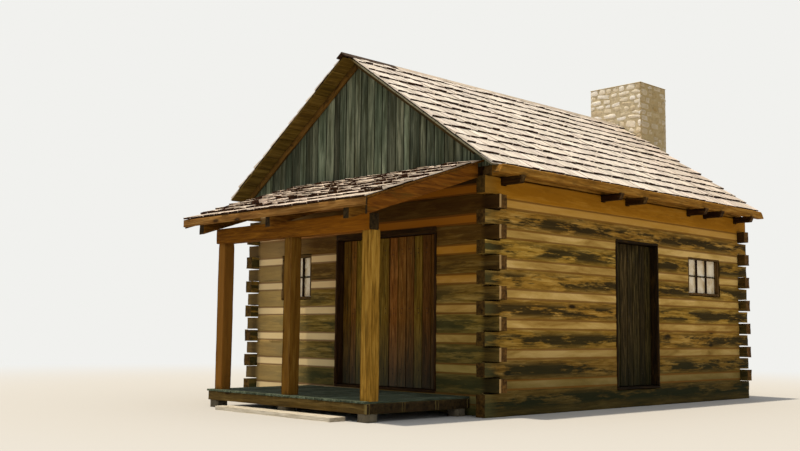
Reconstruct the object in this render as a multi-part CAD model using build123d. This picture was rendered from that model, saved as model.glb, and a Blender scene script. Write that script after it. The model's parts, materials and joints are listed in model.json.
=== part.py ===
from build123d import *
import math
import os

# Log cabin with a gabled shake roof, a boarded porch across the doorway and a stone chimney.
# X runs to the right along the front wall, Y runs back along the side walls, Z is up.
# The origin is the middle of the whole plan, on the ground. All sizes are in millimetres.

os.makedirs("parts", exist_ok=True)

# Size of the log body, over the outer faces of the logs
body_width = 4570.0
body_length = 5815.0

# Squared logs, laid with open courses that are filled with chinking
log_thickness = 145.0
log_height = 245.0
chink_height = 100.0
chink_recess = 12.0
log_arris = 14.0
side_end_overrun = 120.0
front_end_overrun = 110.0
courses = 8
sill_drop = 55.0

# Wall plates, tie beams and the eave planks that lie on the tie beams' tails
plate_height = 140.0
tie_height = 90.0
tie_width = 90.0
tie_tail = 300.0
tie_bevel = 45.0
tie_from_front = (168.0, 2135.0, 2682.0)
tie_from_back = (1592.0, 1142.0, 255.0)
eave_plank_width = 95.0
eave_plank_height = 94.0
eave_plank_bevel = 13.0
eave_plank_round = 14.0
eave_plank_overrun = 190.0
eave_plank_slant = 80.0
eave_plank_gap = 3.0

# Main roof
roof_pitch = 34.3
rafter_heel = 58.0
eave_reach = 165.0
front_verge = 220.0
left_verge_extra = 70.0
back_verge = 170.0
rafter_depth = 90.0
rafter_width = 90.0
rafter_pairs = 9
rafter_foot_inset = 8.0
verge_rafter_depth = 80.0
verge_rafter_thickness = 45.0
verge_rafter_foot_inset = 10.0
porch_side_foot_inset = 400.0
roof_board = 22.0
shake_butt = 30.0
shake_tip = 9.0
shake_drip = 15.0
main_shake_courses = 13
ridge_gap = 2.0
ridge_cap_reach = 120.0
ridge_cap_board = 20.0
ridge_cap_nose = 45.0

# Gable boarding
gable_board = 22.0
gable_lap = 20.0
gable_board_pitch = 185.0
gable_groove = 6.0
gable_groove_depth = 5.0
gable_edge_inset = 40.0

# Stone chimney behind the back gable
chimney_width = 1040.0
chimney_depth = 800.0
chimney_height = 5180.0
chimney_base_width = 1400.0
chimney_base_depth = 900.0
chimney_base_height = 1700.0
chimney_shoulder_height = 600.0
chimney_rake_gap = 6.0
chimney_top_round = 25.0
flue_width = 460.0
flue_depth = 300.0
flue_back = 250.0
fire_width = 800.0
fire_height = 540.0
fire_depth = 350.0
hearth_width = 1120.0
throat_set = 60.0
throat_height = 220.0

# Floor
threshold_rise = 12.5
floor_board = 30.0
sleeper_width = 120.0
sleeper_count = 7

# Doorways, as the clear opening between the jambs
front_door_from_corner = 1799.0
front_door_width = 1770.0
front_door_height = 1865.0
front_head = 75.0
side_door_past_middle = 42.5
side_door_width = 940.0
side_door_height = 1880.0
side_head = 30.0
jamb_thickness = 32.0
threshold_thickness = 30.0
frame_joint = 0.5

# Ledged plank doors on strap hinges that hang on pintles
leaf_thickness = 35.0
leaf_edge_gap = 5.0
leaf_meeting_gap = 6.0
leaf_sill_gap = 6.0
leaf_board = 176.0
leaf_groove = 5.0
leaf_groove_depth = 6.0
batten_height = 110.0
batten_thickness = 25.0
batten_inset = 40.0
batten_from_end = 130.0
strap_length = 430.0
strap_height = 40.0
strap_thickness = 6.0
strap_from_batten = 35.0
hinge_offset = 12.0
eye_radius = 10.0
eye_bore = 6.1
pin_radius = 6.0
pin_stub = 6.0
pin_seat = 0.3
boss_wall = 1.5
lug_height = 14.0
pintle_plate_near = 16.0
pintle_plate_far = 70.0
pintle_plate_height = 90.0

# Windows, over the outside of their frames
side_window_past_middle = 114.0
side_window_width = 870.0
side_window_foot = 1500.0
side_window_height = 555.0
front_window_past_middle = 12.0
front_window_width = 643.0
front_window_foot = 1365.0
front_window_height = 610.0
window_frame = 40.0
window_frame_depth = 110.0
window_frame_set = 18.0
glass_thickness = 6.0
glass_set = 75.0

# Porch deck
deck_from_corner = 330.0
deck_width = 2910.0
deck_reach = 1600.0
deck_level = 220.0
deck_board = 25.0
deck_nosing = 25.0
deck_joist_height = 110.0
deck_joist_width = 40.0
deck_joists = 4
footing_size = 190.0
footing_corner = 32.0
footing_from_wall = 30.0
step_from_corner = 650.0
step_length = 2100.0
step_width = 225.0
step_height = 50.0
step_arris = 6.0

# Porch posts, beam, rafters and roof
post_size = 150.0
post_pitch = 1335.0
post_set = 25.0
porch_arris = 8.0
beam_height = 195.0
beam_depth = 150.0
beam_left_overrun = 20.0
porch_rafter_width = 100.0
porch_rafter_depth = 178.0
porch_rafter_spacing = 1350.0
porch_rafter_from_corner = 430.0
porch_rafter_notch = 12.0
porch_roof_from_corner = 95.0
porch_roof_width = 3415.0
porch_overhang = 215.0
porch_roof_pitch = 18.6
porch_verge_gap = 104.0
porch_roof_board = 25.0
porch_shake_courses = 8
porch_shake_butt = 24.0
porch_shake_tip = 8.0
eave_board_thickness = 25.0
eave_board_height = 92.0
rake_board_thickness = 40.0
right_rake_depth = 165.0
left_rake_depth = 92.0
rake_board_stop = 128.0
contact_gap = 0.3

# How far a cutter passes the faces that it opens
hole_pass = 50.0
slot_pass = 1.0

# Sizes that follow from those above
half_width = body_width / 2
half_length = body_length / 2
front_face = -half_length
back_face = half_length
inner_x = half_width - log_thickness
inner_y = half_length - log_thickness
course = log_height + chink_height
half_course = course / 2
tenon_trim = (log_height - half_course) / 2
slope = math.tan(math.radians(roof_pitch))
slope_cos = math.cos(math.radians(roof_pitch))
porch_slope = math.tan(math.radians(porch_roof_pitch))
porch_cos = math.cos(math.radians(porch_roof_pitch))
top_log_top = sill_drop + (courses - 1) * course + log_height
plate_top = top_log_top + plate_height
door_sill_level = sill_drop + half_course
door_foot = door_sill_level + threshold_thickness
floor_level = door_foot - threshold_rise
ridge_height = plate_top + rafter_heel + slope * half_width + (roof_board + shake_butt) / slope_cos
gable_foot = plate_top - gable_lap
front_door_centre = half_width - front_door_from_corner
front_door_left_edge = front_door_centre - front_door_width / 2
front_door_right_edge = front_door_centre + front_door_width / 2
front_window_centre = (front_door_left_edge - jamb_thickness - inner_x) / 2 + front_window_past_middle
front_window_left = front_window_centre - front_window_width / 2
side_door_low = side_door_past_middle - side_door_width / 2
side_door_high = side_door_low + side_door_width
side_window_centre = (side_door_high + jamb_thickness + inner_y) / 2 + side_window_past_middle
side_window_low = side_window_centre - side_window_width / 2
deck_right = half_width - deck_from_corner
deck_left = deck_right - deck_width
step_right = half_width - step_from_corner
porch_roof_right = half_width - porch_roof_from_corner
porch_roof_left = porch_roof_right - porch_roof_width


def block(x0, x1, y0, y1, z0, z1):
    """A box between two corners."""
    return Pos((x0 + x1) / 2, (y0 + y1) / 2, (z0 + z1) / 2) * Box(x1 - x0, y1 - y0, z1 - z0)


def side_log_bottom(number):
    """Foot of a side wall log; the sill log reaches the ground."""
    return 0.0 if number == 0 else sill_drop + number * course


def side_log_top(number):
    return sill_drop + number * course + log_height


def front_log_bottom(number):
    return sill_drop + half_course + number * course


def front_log_top(number):
    """Top of a front wall log; the top one is level with the wall plates."""
    return plate_top if number == courses - 1 else front_log_bottom(number) + log_height


def roof_underside(x):
    """Height of the underside of the roof boards over a point of the plan."""
    return ridge_height - (roof_board + shake_butt) / slope_cos - slope * abs(x)


def extrude_xz(points, y0, y1):
    """A prism along Y from an outline given as x, z points."""
    outline = Polyline(*[(x, 0, z) for x, z in points], close=True)
    solid = extrude(make_face(outline), amount=y1 - y0, dir=(0, 1, 0))
    return Pos(0, y0, 0) * solid


def extrude_yz(points, x0, x1):
    """A prism along X from an outline given as y, z points."""
    outline = Polyline(*[(0, y, z) for y, z in points], close=True)
    solid = extrude(make_face(outline), amount=x1 - x0, dir=(1, 0, 0))
    return Pos(x0, 0, 0) * solid


def cut(body, cutters):
    """The solids that are left of a body when each cutter is taken away."""
    for cutter in cutters:
        body = body - cutter
    return list(body.solids())


# Openings through the log walls
side_door_hole = block(
    inner_x - hole_pass, half_width + hole_pass,
    side_door_low - jamb_thickness, side_door_high + jamb_thickness,
    door_sill_level, door_foot + side_door_height + side_head,
)
front_door_hole = block(
    front_door_left_edge - jamb_thickness, front_door_right_edge + jamb_thickness,
    front_face - hole_pass, front_face + log_thickness + hole_pass,
    door_sill_level, door_foot + front_door_height + front_head,
)


def side_window_hole(side):
    x0, x1 = sorted((side * (inner_x - hole_pass), side * (half_width + hole_pass)))
    y0, z0 = side_window_low, side_window_foot
    return block(x0, x1, y0, y0 + side_window_width, z0, z0 + side_window_height)


front_window_hole = block(
    front_window_left, front_window_left + front_window_width,
    front_face - hole_pass, front_face + log_thickness + hole_pass,
    front_window_foot, front_window_foot + front_window_height,
)
hearth_hole = block(
    -hearth_width / 2, hearth_width / 2, inner_y - hole_pass, back_face + hole_pass,
    -hole_pass, front_log_bottom(2),
)


tie_bottom = top_log_top - tie_height
tie_lows = [front_face + run for run in tie_from_front] + [back_face - run for run in tie_from_back]
tie_seats = [
    block(-body_width, body_width, low, low + tie_width, tie_bottom, top_log_top + slot_pass)
    for low in tie_lows
]


def side_log(side, number):
    """A squared log with its ends cut down to lap the front and back logs."""
    low, high = side_log_bottom(number), side_log_top(number)
    x0, x1 = sorted((side * inner_x, side * half_width))
    body = block(x0, x1, -inner_y, inner_y, low, high)
    body = chamfer(body.edges().filter_by(Axis.Y), log_arris)
    end_low = low if number == 0 else low + tenon_trim
    end_high = high if number == courses - 1 else high - tenon_trim
    reach = half_length + side_end_overrun
    ends = [
        block(x0, x1, -reach, -inner_y, end_low, end_high),
        block(x0, x1, inner_y, reach, end_low, end_high),
    ]
    return body + ends[0] + ends[1]


def cross_log(back, number):
    """A squared log of the front or back wall; the top one fits between the plates."""
    low, high = front_log_bottom(number), front_log_top(number)
    y0, y1 = (inner_y, half_length) if back else (-half_length, -inner_y)
    body = block(-inner_x, inner_x, y0, y1, low, high)
    body = chamfer(body.edges().filter_by(Axis.X), log_arris)
    if number == courses - 1:
        return body
    reach = half_width + front_end_overrun
    end_low, end_high = low + tenon_trim, high - tenon_trim
    left = block(-reach, -inner_x, y0, y1, end_low, end_high)
    right = block(inner_x, reach, y0, y1, end_low, end_high)
    return body + left + right


def side_chinks(side, cutters):
    """Bands of chinking between the side logs."""
    x0, x1 = sorted((side * (inner_x + chink_recess), side * (half_width - chink_recess)))
    solids = []
    for number in range(courses - 1):
        band = block(x0, x1, -inner_y, inner_y, side_log_top(number), side_log_bottom(number + 1))
        solids += cut(band, cutters)
    return solids


def cross_chinks(back, cutters):
    """Bands of chinking between the front or back logs, and over the half sill."""
    y0 = inner_y if back else -half_length
    y0, y1 = y0 + chink_recess, y0 + log_thickness - chink_recess
    bands = [(front_log_bottom(0) - chink_height, front_log_bottom(0))]
    bands += [(front_log_top(n), front_log_bottom(n + 1)) for n in range(courses - 1)]
    solids = []
    for low, high in bands:
        solids += cut(block(-inner_x, inner_x, y0, y1, low, high), cutters)
    return solids


def half_sill(back):
    """The half-height log under the front or back wall."""
    y0, y1 = (inner_y, half_length) if back else (-half_length, -inner_y)
    return block(-inner_x, inner_x, y0, y1, 0, front_log_bottom(0) - chink_height)


def side_wall(side, cutters):
    """Every solid piece of log in a side wall."""
    solids = []
    for number in range(courses):
        seats = tie_seats if number == courses - 1 else []
        solids += cut(side_log(side, number), cutters + seats)
    return solids


def cross_wall(back, cutters):
    """Every solid piece of log in the front or back wall."""
    solids = cut(half_sill(back), cutters)
    for number in range(courses):
        solids += cut(cross_log(back, number), cutters)
    return solids


def span(solid, axis):
    box = solid.bounding_box()
    return (box.min.Y, box.max.Y) if axis == "y" else (box.min.X, box.max.X)


def beside(solids, axis, low, high):
    """Sorts wall pieces into those before, after and right across an opening."""
    before, after, across = [], [], []
    for solid in solids:
        start, end = span(solid, axis)
        if end < low + slot_pass:
            before.append(solid)
        elif start > high - slot_pass:
            after.append(solid)
        else:
            across.append(solid)
    return before, after, across


def wall_plate(side):
    x0, x1 = sorted((side * inner_x, side * half_width))
    return block(x0, x1, -half_length, half_length, top_log_top, plate_top)


def tie_beam(front):
    """A tie beam whose ends pass the walls and slope back at their foot."""
    reach = half_width + tie_tail
    low, high = tie_bottom, top_log_top
    points = [
        (-reach, high), (reach, high), (reach - tie_bevel, low), (-reach + tie_bevel, low),
    ]
    return extrude_xz(points, front, front + tie_width)


def eave_plank(side):
    """A hewn plank along the tie beams' tails, with ends that slope back at the top."""
    x_in = half_width + eave_reach + eave_plank_gap
    x0, x1 = sorted((side * x_in, side * (x_in + eave_plank_width)))
    y0 = front_face - eave_plank_overrun
    low, high = top_log_top, top_log_top + eave_plank_height
    points = [(y0 + eave_plank_slant, high), (-y0 - eave_plank_slant, high), (-y0, low), (y0, low)]
    plank = extrude_yz(points, x0, x1)
    edges = plank.edges().filter_by(Axis.Y).sort_by(Axis.X)
    outer = edges[-2:] if side > 0 else edges[:2]
    plank = fillet(outer, eave_plank_round)
    inner = plank.edges().filter_by(Axis.Y).group_by(Axis.X)[0 if side > 0 else -1]
    return chamfer(inner.sort_by(Axis.Z)[-1], eave_plank_bevel)


def rafter(side, y0):
    """A rafter from the ridge, where it meets its pair, to its seat on the wall plate."""
    drop = rafter_depth / slope_cos
    foot = half_width - rafter_foot_inset
    heel = (roof_underside(0) - drop - plate_top) / slope
    meet = contact_gap / 2
    points = [
        (meet, roof_underside(meet)), (foot, roof_underside(foot)),
        (foot, plate_top), (heel, plate_top), (meet, roof_underside(meet) - drop),
    ]
    return extrude_xz([(side * x, z) for x, z in points], y0, y0 + rafter_width)


def verge_rafter(side, back):
    """A flat rafter on the face of a gable, close under the roof boards."""
    head = chimney_width / 2 + chimney_rake_gap if back else contact_gap / 2
    beside_porch = side > 0 and not back
    inset = porch_side_foot_inset if beside_porch else verge_rafter_foot_inset
    foot = half_width + eave_reach - inset
    drop = verge_rafter_depth / slope_cos
    points = [
        (head, roof_underside(head)), (foot, roof_underside(foot)),
        (foot, roof_underside(foot) - drop), (head, roof_underside(head) - drop),
    ]
    y_near = back_face + gable_board if back else front_face - gable_board
    y_far = y_near + verge_rafter_thickness if back else y_near - verge_rafter_thickness
    y0, y1 = sorted((y_near, y_far))
    return extrude_xz([(side * x, z) for x, z in points], y0, y1)


def slope_point(side, along, up):
    """A point of the main roof: along is measured up the slope from the eave."""
    edge = half_width + eave_reach
    angle = math.radians(roof_pitch)
    x = edge - along * math.cos(angle) + up * math.sin(angle)
    z = roof_underside(edge) + along * math.sin(angle) + up * math.cos(angle)
    return (side * x, z)


def plumb_up(along_limit, up):
    """The length up the slope at which a layer at this height meets the ridge."""
    return along_limit + up * math.tan(math.radians(roof_pitch))


def verge_front(side):
    """Front edge of a slope: the left one reaches further over the gable."""
    return front_face - front_verge - (left_verge_extra if side < 0 else 0)


main_slope_length = (half_width + eave_reach - ridge_gap) / slope_cos
chimney_notch = block(
    -chimney_width / 2 - chimney_rake_gap, chimney_width / 2 + chimney_rake_gap,
    back_face + gable_board - chimney_rake_gap, back_face + 2 * chimney_depth,
    chimney_base_height, chimney_height,
)


def roof_boards(side):
    """Close boarding of one slope."""
    points = [
        slope_point(side, 0, 0),
        slope_point(side, main_slope_length, 0),
        slope_point(side, plumb_up(main_slope_length, roof_board), roof_board),
        slope_point(side, 0, roof_board),
    ]
    slab = extrude_xz(points, verge_front(side), back_face + back_verge)
    return cut(slab, [chimney_notch])


def shake_outline(length, courses_up, base, butt, tip, drip):
    """Saw-toothed outline of lapped shakes as along, up pairs, from the eave to the top."""
    exposure = (length + drip) / courses_up
    points = [(-drip, base)]
    for number in range(courses_up):
        start = -drip + number * exposure
        points.append((start, base + butt))
        points.append((start + exposure, base + tip))
    return points


def roof_shakes(side):
    """Lapped shakes of one slope."""
    outline = shake_outline(
        main_slope_length, main_shake_courses, roof_board, shake_butt, shake_tip, shake_drip
    )
    last_up = outline[-1][1]
    outline[-1] = (plumb_up(main_slope_length, last_up), last_up)
    outline.append((plumb_up(main_slope_length, roof_board), roof_board))
    points = [slope_point(side, along, up) for along, up in outline]
    slab = extrude_xz(points, verge_front(side), back_face + back_verge)
    return cut(slab, [chimney_notch])


def ridge_cap_boards():
    """Two boards that lie on the top shakes and meet over the ridge."""
    exposure = (main_slope_length + shake_drip) / main_shake_courses
    taper = (shake_butt - shake_tip) / (exposure + (roof_board + shake_tip) * slope)
    run = (ridge_cap_reach - ridge_gap / slope_cos) / (1 + taper * slope)
    low = roof_underside(0) + (roof_board + shake_tip + taper * run) / slope_cos + contact_gap
    high = low + ridge_cap_board / slope_cos
    meet = contact_gap / 2
    reach = ridge_cap_reach * slope_cos
    points = [
        (meet, high - slope * meet), (reach, high - slope * reach),
        (reach, low - slope * reach), (meet, low - slope * meet),
    ]
    y0 = verge_front(-1) - ridge_cap_nose
    y1 = back_face + gable_board - chimney_rake_gap
    return [extrude_xz([(side * x, z) for x, z in points], y0, y1) for side in (1, -1)]


def gable(back):
    """Upright boards over an end wall, as one panel with open joints."""
    y_out = back_face + gable_board if back else front_face - gable_board
    y_in = back_face if back else front_face
    y0, y1 = sorted((y_out, y_in))
    top = roof_underside(0)
    reach = (top - gable_foot) / slope
    panel = extrude_xz([(-reach, gable_foot), (reach, gable_foot), (0, top)], y0, y1)
    edge = half_width + eave_reach - gable_edge_inset
    panel = panel & block(
        -edge, edge, y0 - slot_pass, y1 + slot_pass, gable_foot - slot_pass, top + slot_pass
    )
    count = int(edge // gable_board_pitch)
    for number in range(-count, count + 1):
        x = number * gable_board_pitch
        out = gable_groove_depth if back else -gable_groove_depth
        g0, g1 = sorted((y_out + out, y_out - out))
        panel = panel - block(
            x - gable_groove / 2, x + gable_groove / 2, g0, g1, gable_foot - slot_pass, top
        )
    return panel


chimney_front = back_face + gable_board + contact_gap
flue_front = chimney_front + chimney_depth - flue_back - flue_depth


def flue(z0, z1):
    return block(-flue_width / 2, flue_width / 2, flue_front, flue_front + flue_depth, z0, z1)


def chimney_base():
    """Rubble base that passes through the wall and holds the fireplace."""
    half = chimney_base_width / 2
    mass = block(-half, half, back_face, back_face + chimney_base_depth, 0, chimney_base_height)
    half_hearth = hearth_width / 2
    breast = block(-half_hearth, half_hearth, inner_y, back_face, 0, front_log_bottom(2))
    fire = block(
        -fire_width / 2, fire_width / 2, inner_y - hole_pass, back_face + fire_depth,
        floor_level, floor_level + fire_height,
    )
    throat = block(
        -flue_width / 2, flue_width / 2, back_face + throat_set, flue_front + flue_depth,
        floor_level + fire_height - throat_height, floor_level + fire_height,
    )
    chase = flue(floor_level + fire_height - slot_pass, chimney_base_height + slot_pass)
    return mass + breast - fire - throat - chase


def chimney_shoulder():
    """Sloped shoulders from the wide base to the stack."""
    low = chimney_base_height
    high = low + chimney_shoulder_height
    back = back_face + chimney_base_depth
    stack_back = chimney_front + chimney_depth
    foot = Pos(0, (back_face + back) / 2, low) * Rectangle(chimney_base_width, back - back_face)
    head = Pos(0, (chimney_front + stack_back) / 2, high)
    head = head * Rectangle(chimney_width, chimney_depth)
    return loft([foot, head]) - flue(low - slot_pass, high + slot_pass)


def chimney_stack():
    low = chimney_base_height + chimney_shoulder_height
    half = chimney_width / 2
    stack = block(-half, half, chimney_front, chimney_front + chimney_depth, low, chimney_height)
    stack = fillet(stack.faces().sort_by(Axis.Z)[-1].edges(), chimney_top_round)
    return stack - flue(low - slot_pass, chimney_height + slot_pass)


def sleepers():
    """Squared timbers on the ground that carry the floor."""
    run = 2 * inner_y - sleeper_width
    step = run / (sleeper_count - 1)
    solids = []
    for number in range(sleeper_count):
        y0 = -inner_y + number * step
        solids.append(block(-inner_x, inner_x, y0, y0 + sleeper_width, 0, floor_level - floor_board))
    return solids


def floor_boards():
    return block(-inner_x, inner_x, -inner_y, inner_y, floor_level - floor_board, floor_level)


def portal(u0, u1, z0, z1, side_thick, foot_thick, head_thick, place):
    """Four frame pieces round an opening: place turns u, z spans into a block."""
    j = frame_joint
    return [
        place(u0 - side_thick, u1 + side_thick, z0 - foot_thick, z0),
        place(u0 - side_thick, u1 + side_thick, z1, z1 + head_thick),
        place(u0 - side_thick, u0, z0 + j, z1 - j),
        place(u1, u1 + side_thick, z0 + j, z1 - j),
    ]


def front_door_frame():
    def place(u0, u1, z0, z1):
        return block(u0, u1, front_face, -inner_y, z0, z1)

    return portal(
        front_door_left_edge, front_door_right_edge, door_foot, door_foot + front_door_height,
        jamb_thickness, threshold_thickness, front_head, place,
    )


def side_door_frame():
    def place(u0, u1, z0, z1):
        return block(inner_x, half_width, u0, u1, z0, z1)

    return portal(
        side_door_low, side_door_high, door_foot, door_foot + side_door_height,
        jamb_thickness, threshold_thickness, side_head, place,
    )


def window_parts(u0, width, z0, height, place):
    """Frame pieces and one pane of a window."""
    f = window_frame
    frame = portal(u0 + f, u0 + width - f, z0 + f, z0 + height - f, f, f, f, place("frame"))
    pane = place("glass")(u0 + f, u0 + width - f, z0 + f, z0 + height - f)
    return frame, pane


def side_window_place(side):
    def choose(kind):
        set_in, depth = (
            (window_frame_set, window_frame_depth) if kind == "frame" else (glass_set, glass_thickness)
        )

        def place(u0, u1, z0, z1):
            x0, x1 = sorted((side * (half_width - set_in - depth), side * (half_width - set_in)))
            return block(x0, x1, u0, u1, z0, z1)

        return place

    return choose


def front_window_place(kind):
    set_in, depth = (
        (window_frame_set, window_frame_depth) if kind == "frame" else (glass_set, glass_thickness)
    )

    def place(u0, u1, z0, z1):
        return block(u0, u1, front_face + set_in, front_face + set_in + depth, z0, z1)

    return place


def strap_levels(height):
    """Foot of each strap: above the bottom batten and below the top one."""
    low = batten_from_end + batten_height + strap_from_batten
    high = height - batten_from_end - batten_height - strap_from_batten - strap_height
    return low, high


def door_leaf(width, height):
    """A ledged plank leaf with its hinge axis on the Z axis and its outside towards -Y."""
    face = -hinge_offset
    x0, x1 = leaf_edge_gap, leaf_edge_gap + width
    leaf = block(x0, x1, face - leaf_thickness, face, 0, height)
    boards = round(width / leaf_board)
    pitch = width / boards
    for number in range(1, boards):
        x = x0 + number * pitch
        leaf = leaf - block(
            x - leaf_groove / 2, x + leaf_groove / 2,
            face - leaf_thickness - slot_pass, face - leaf_thickness + leaf_groove_depth,
            -slot_pass, height + slot_pass,
        )
    for z in (batten_from_end, (height - batten_height) / 2, height - batten_from_end - batten_height):
        leaf = leaf + block(
            x0 + batten_inset, x1 - batten_inset, face, face + batten_thickness, z, z + batten_height
        )
    return leaf


def door_straps(height):
    """Strap hinges with an eye round the axis."""
    solids = []
    for z in strap_levels(height):
        strap = block(
            0, strap_length, -hinge_offset, -hinge_offset + strap_thickness, z, z + strap_height
        )
        eye = Pos(0, 0, z + strap_height / 2) * Cylinder(eye_radius, strap_height)
        bore = Pos(0, 0, z + strap_height / 2) * Cylinder(eye_bore, strap_height + 2 * slot_pass)
        solids.append(strap + eye - bore)
    return solids


def door_pintles(height):
    """Fixed pins with a lug and a plate on the jamb, below each strap's eye."""
    solids = []
    for z in strap_levels(height):
        top = z - pin_seat
        plate = block(
            -pintle_plate_far, -pintle_plate_near,
            -hinge_offset, -hinge_offset + strap_thickness,
            top + pintle_plate_height / 4 - pintle_plate_height, top + pintle_plate_height / 4,
        )
        arm = block(
            -pintle_plate_near - slot_pass, 0, -strap_thickness, strap_thickness,
            top - lug_height, top,
        )
        boss = Pos(0, 0, top - lug_height / 2) * Cylinder(pin_radius + boss_wall, lug_height)
        pin_top = z + strap_height + pin_stub
        pin = Pos(0, 0, (top + pin_top) / 2) * Cylinder(pin_radius, pin_top - top)
        solids.append(plate + arm + boss + pin)
    return solids


def deck_frame():
    """Joists under the deck and short rims between their ends."""
    top = deck_level - deck_board
    low = top - deck_joist_height
    front = front_face - deck_reach + deck_nosing
    step = (deck_reach - deck_nosing - deck_joist_width) / (deck_joists - 1)
    solids = []
    for number in range(deck_joists):
        y0 = front + number * step
        solids.append(block(deck_left, deck_right, y0, y0 + deck_joist_width, low, top))
        if number:
            r0 = y0 - step + deck_joist_width + frame_joint
            for x0 in (deck_left, deck_right - deck_joist_width):
                solids.append(block(x0, x0 + deck_joist_width, r0, y0 - frame_joint, low, top))
    return solids


def footings():
    """Flat stones under the deck's front and back joists."""
    top = deck_level - deck_board - deck_joist_height
    front = front_face - deck_reach + deck_nosing
    solids = []
    middle = (deck_left + deck_right) / 2
    for x in (deck_left + footing_size / 2, middle, deck_right - footing_size / 2):
        for y in (front + footing_size / 2, front_face - footing_size / 2 - footing_from_wall):
            stone = block(
                x - footing_size / 2, x + footing_size / 2,
                y - footing_size / 2, y + footing_size / 2, 0, top,
            )
            solids.append(chamfer(stone.edges().filter_by(Axis.Z), footing_corner))
    return solids


post_front = front_face - deck_reach + deck_nosing + post_set
post_rights = [deck_right - number * post_pitch for number in range(3)]
beam_front = front_face - deck_reach + deck_nosing
porch_low_y = front_face - deck_reach - porch_overhang
porch_high_y = front_face - gable_board - contact_gap
porch_cover = (porch_rafter_depth + porch_roof_board + porch_shake_butt) / porch_cos
porch_verge_underside = roof_underside(porch_roof_right) - porch_verge_gap - porch_cover


def porch_height(y, lift=0.0):
    """Height over a plan point of the line this far above the porch rafters' underside."""
    return porch_verge_underside + lift + porch_slope * (y - (front_face - front_verge))


beam_top = porch_height(beam_front) + porch_rafter_notch
beam_underside = beam_top - beam_height


def posts():
    solids = []
    for right in post_rights:
        post = block(
            right - post_size, right, post_front, post_front + post_size, deck_level, beam_underside
        )
        solids.append(chamfer(post.edges().filter_by(Axis.Z), porch_arris))
    return solids


def porch_beam():
    left = post_rights[-1] - post_size - beam_left_overrun
    beam = block(left, deck_right, beam_front, beam_front + beam_depth, beam_underside, beam_top)
    return chamfer(beam.edges().filter_by(Axis.X), porch_arris)


def porch_strip(y0, y1, lift0, lift1, x0, x1):
    """A sloped slab under or over the porch rafters' line."""
    points = [
        (y0, porch_height(y0, lift0)), (y1, porch_height(y1, lift0)),
        (y1, porch_height(y1, lift1)), (y0, porch_height(y0, lift1)),
    ]
    return extrude_yz(points, x0, x1)


def porch_rafters():
    """Three rafters, notched over the beam and butted to the gable boards."""
    depth = porch_rafter_depth / porch_cos
    beam_notch = block(
        -body_width, body_width, beam_front, beam_front + beam_depth, beam_underside, beam_top
    )
    solids = []
    for number in range(3):
        x = half_width - porch_rafter_from_corner - number * porch_rafter_spacing
        rafter = porch_strip(
            porch_low_y, porch_high_y, 0, depth,
            x - porch_rafter_width / 2, x + porch_rafter_width / 2,
        )
        solids += cut(rafter, [beam_notch])
    return solids


def porch_roof_boards():
    low = porch_rafter_depth / porch_cos
    high = low + porch_roof_board / porch_cos
    return porch_strip(porch_low_y, porch_high_y, low, high, porch_roof_left, porch_roof_right)


def porch_shakes():
    """Lapped shakes of the porch roof."""
    base = (porch_rafter_depth + porch_roof_board) / porch_cos
    length = (porch_high_y - porch_low_y) / porch_cos
    drip = shake_drip + eave_board_thickness
    outline = shake_outline(
        length, porch_shake_courses, 0, porch_shake_butt, porch_shake_tip, drip
    )
    outline.append((outline[-1][0], 0))
    angle = math.radians(porch_roof_pitch)
    points = []
    for along, up in outline:
        y = porch_low_y + along * math.cos(angle) - up * math.sin(angle)
        z = porch_height(porch_low_y, base) + along * math.sin(angle) + up * math.cos(angle)
        points.append((min(y, porch_high_y), z))
    return extrude_yz(points, porch_roof_left, porch_roof_right)


def porch_trim():
    """Eave board on the rafter ends and a rake board under each edge of the porch roof."""
    top = porch_height(porch_low_y, (porch_rafter_depth + porch_roof_board) / porch_cos)
    top = top - porch_slope * eave_board_thickness
    eave = block(
        porch_roof_left, porch_roof_right, porch_low_y - eave_board_thickness, porch_low_y,
        top - eave_board_height, top,
    )
    head = porch_rafter_depth / porch_cos
    y0 = porch_low_y + frame_joint
    y1 = front_face - rake_board_stop
    right = porch_strip(
        y0, y1, head - right_rake_depth, head,
        porch_roof_right - rake_board_thickness, porch_roof_right,
    )
    left = porch_strip(
        y0, y1, head - left_rake_depth, head,
        porch_roof_left, porch_roof_left + rake_board_thickness,
    )
    return [eave, right, left]


def step_plank():
    """A thick plank on the ground along the deck's front."""
    y1 = front_face - deck_reach + deck_nosing
    plank = block(step_right - step_length, step_right, y1 - step_width, y1, 0, step_height)
    return chamfer(plank.edges().filter_by(Axis.X), step_arris)


# Walls, sorted into pieces beside and across each doorway
nodes = {}
right_solids = side_wall(1, [side_door_hole, side_window_hole(1)])
right_front, right_back, right_long = beside(
    right_solids, "y", side_door_low - jamb_thickness, side_door_high + jamb_thickness
)
nodes["right_wall_front_logs"] = right_front
nodes["right_wall_back_logs"] = right_back
nodes["right_wall_long_logs"] = right_long
nodes["right_wall_chinking"] = side_chinks(1, [side_door_hole, side_window_hole(1)])
nodes["left_wall_logs"] = side_wall(-1, [side_window_hole(-1)])
nodes["left_wall_chinking"] = side_chinks(-1, [side_window_hole(-1)])
front_solids = cross_wall(False, [front_door_hole, front_window_hole])
front_left, front_right, front_long = beside(
    front_solids, "x", front_door_left_edge - jamb_thickness, front_door_right_edge + jamb_thickness
)
nodes["front_wall_left_logs"] = front_left
nodes["front_wall_right_logs"] = front_right
nodes["front_wall_long_logs"] = front_long
nodes["front_wall_chinking"] = cross_chinks(False, [front_door_hole, front_window_hole])
back_solids = cross_wall(True, [hearth_hole])
back_left, back_right, back_long = beside(
    back_solids, "x", -hearth_width / 2, hearth_width / 2
)
nodes["back_wall_left_logs"] = back_left
nodes["back_wall_right_logs"] = back_right
nodes["back_wall_long_logs"] = back_long
nodes["back_wall_chinking"] = cross_chinks(True, [hearth_hole])

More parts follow.
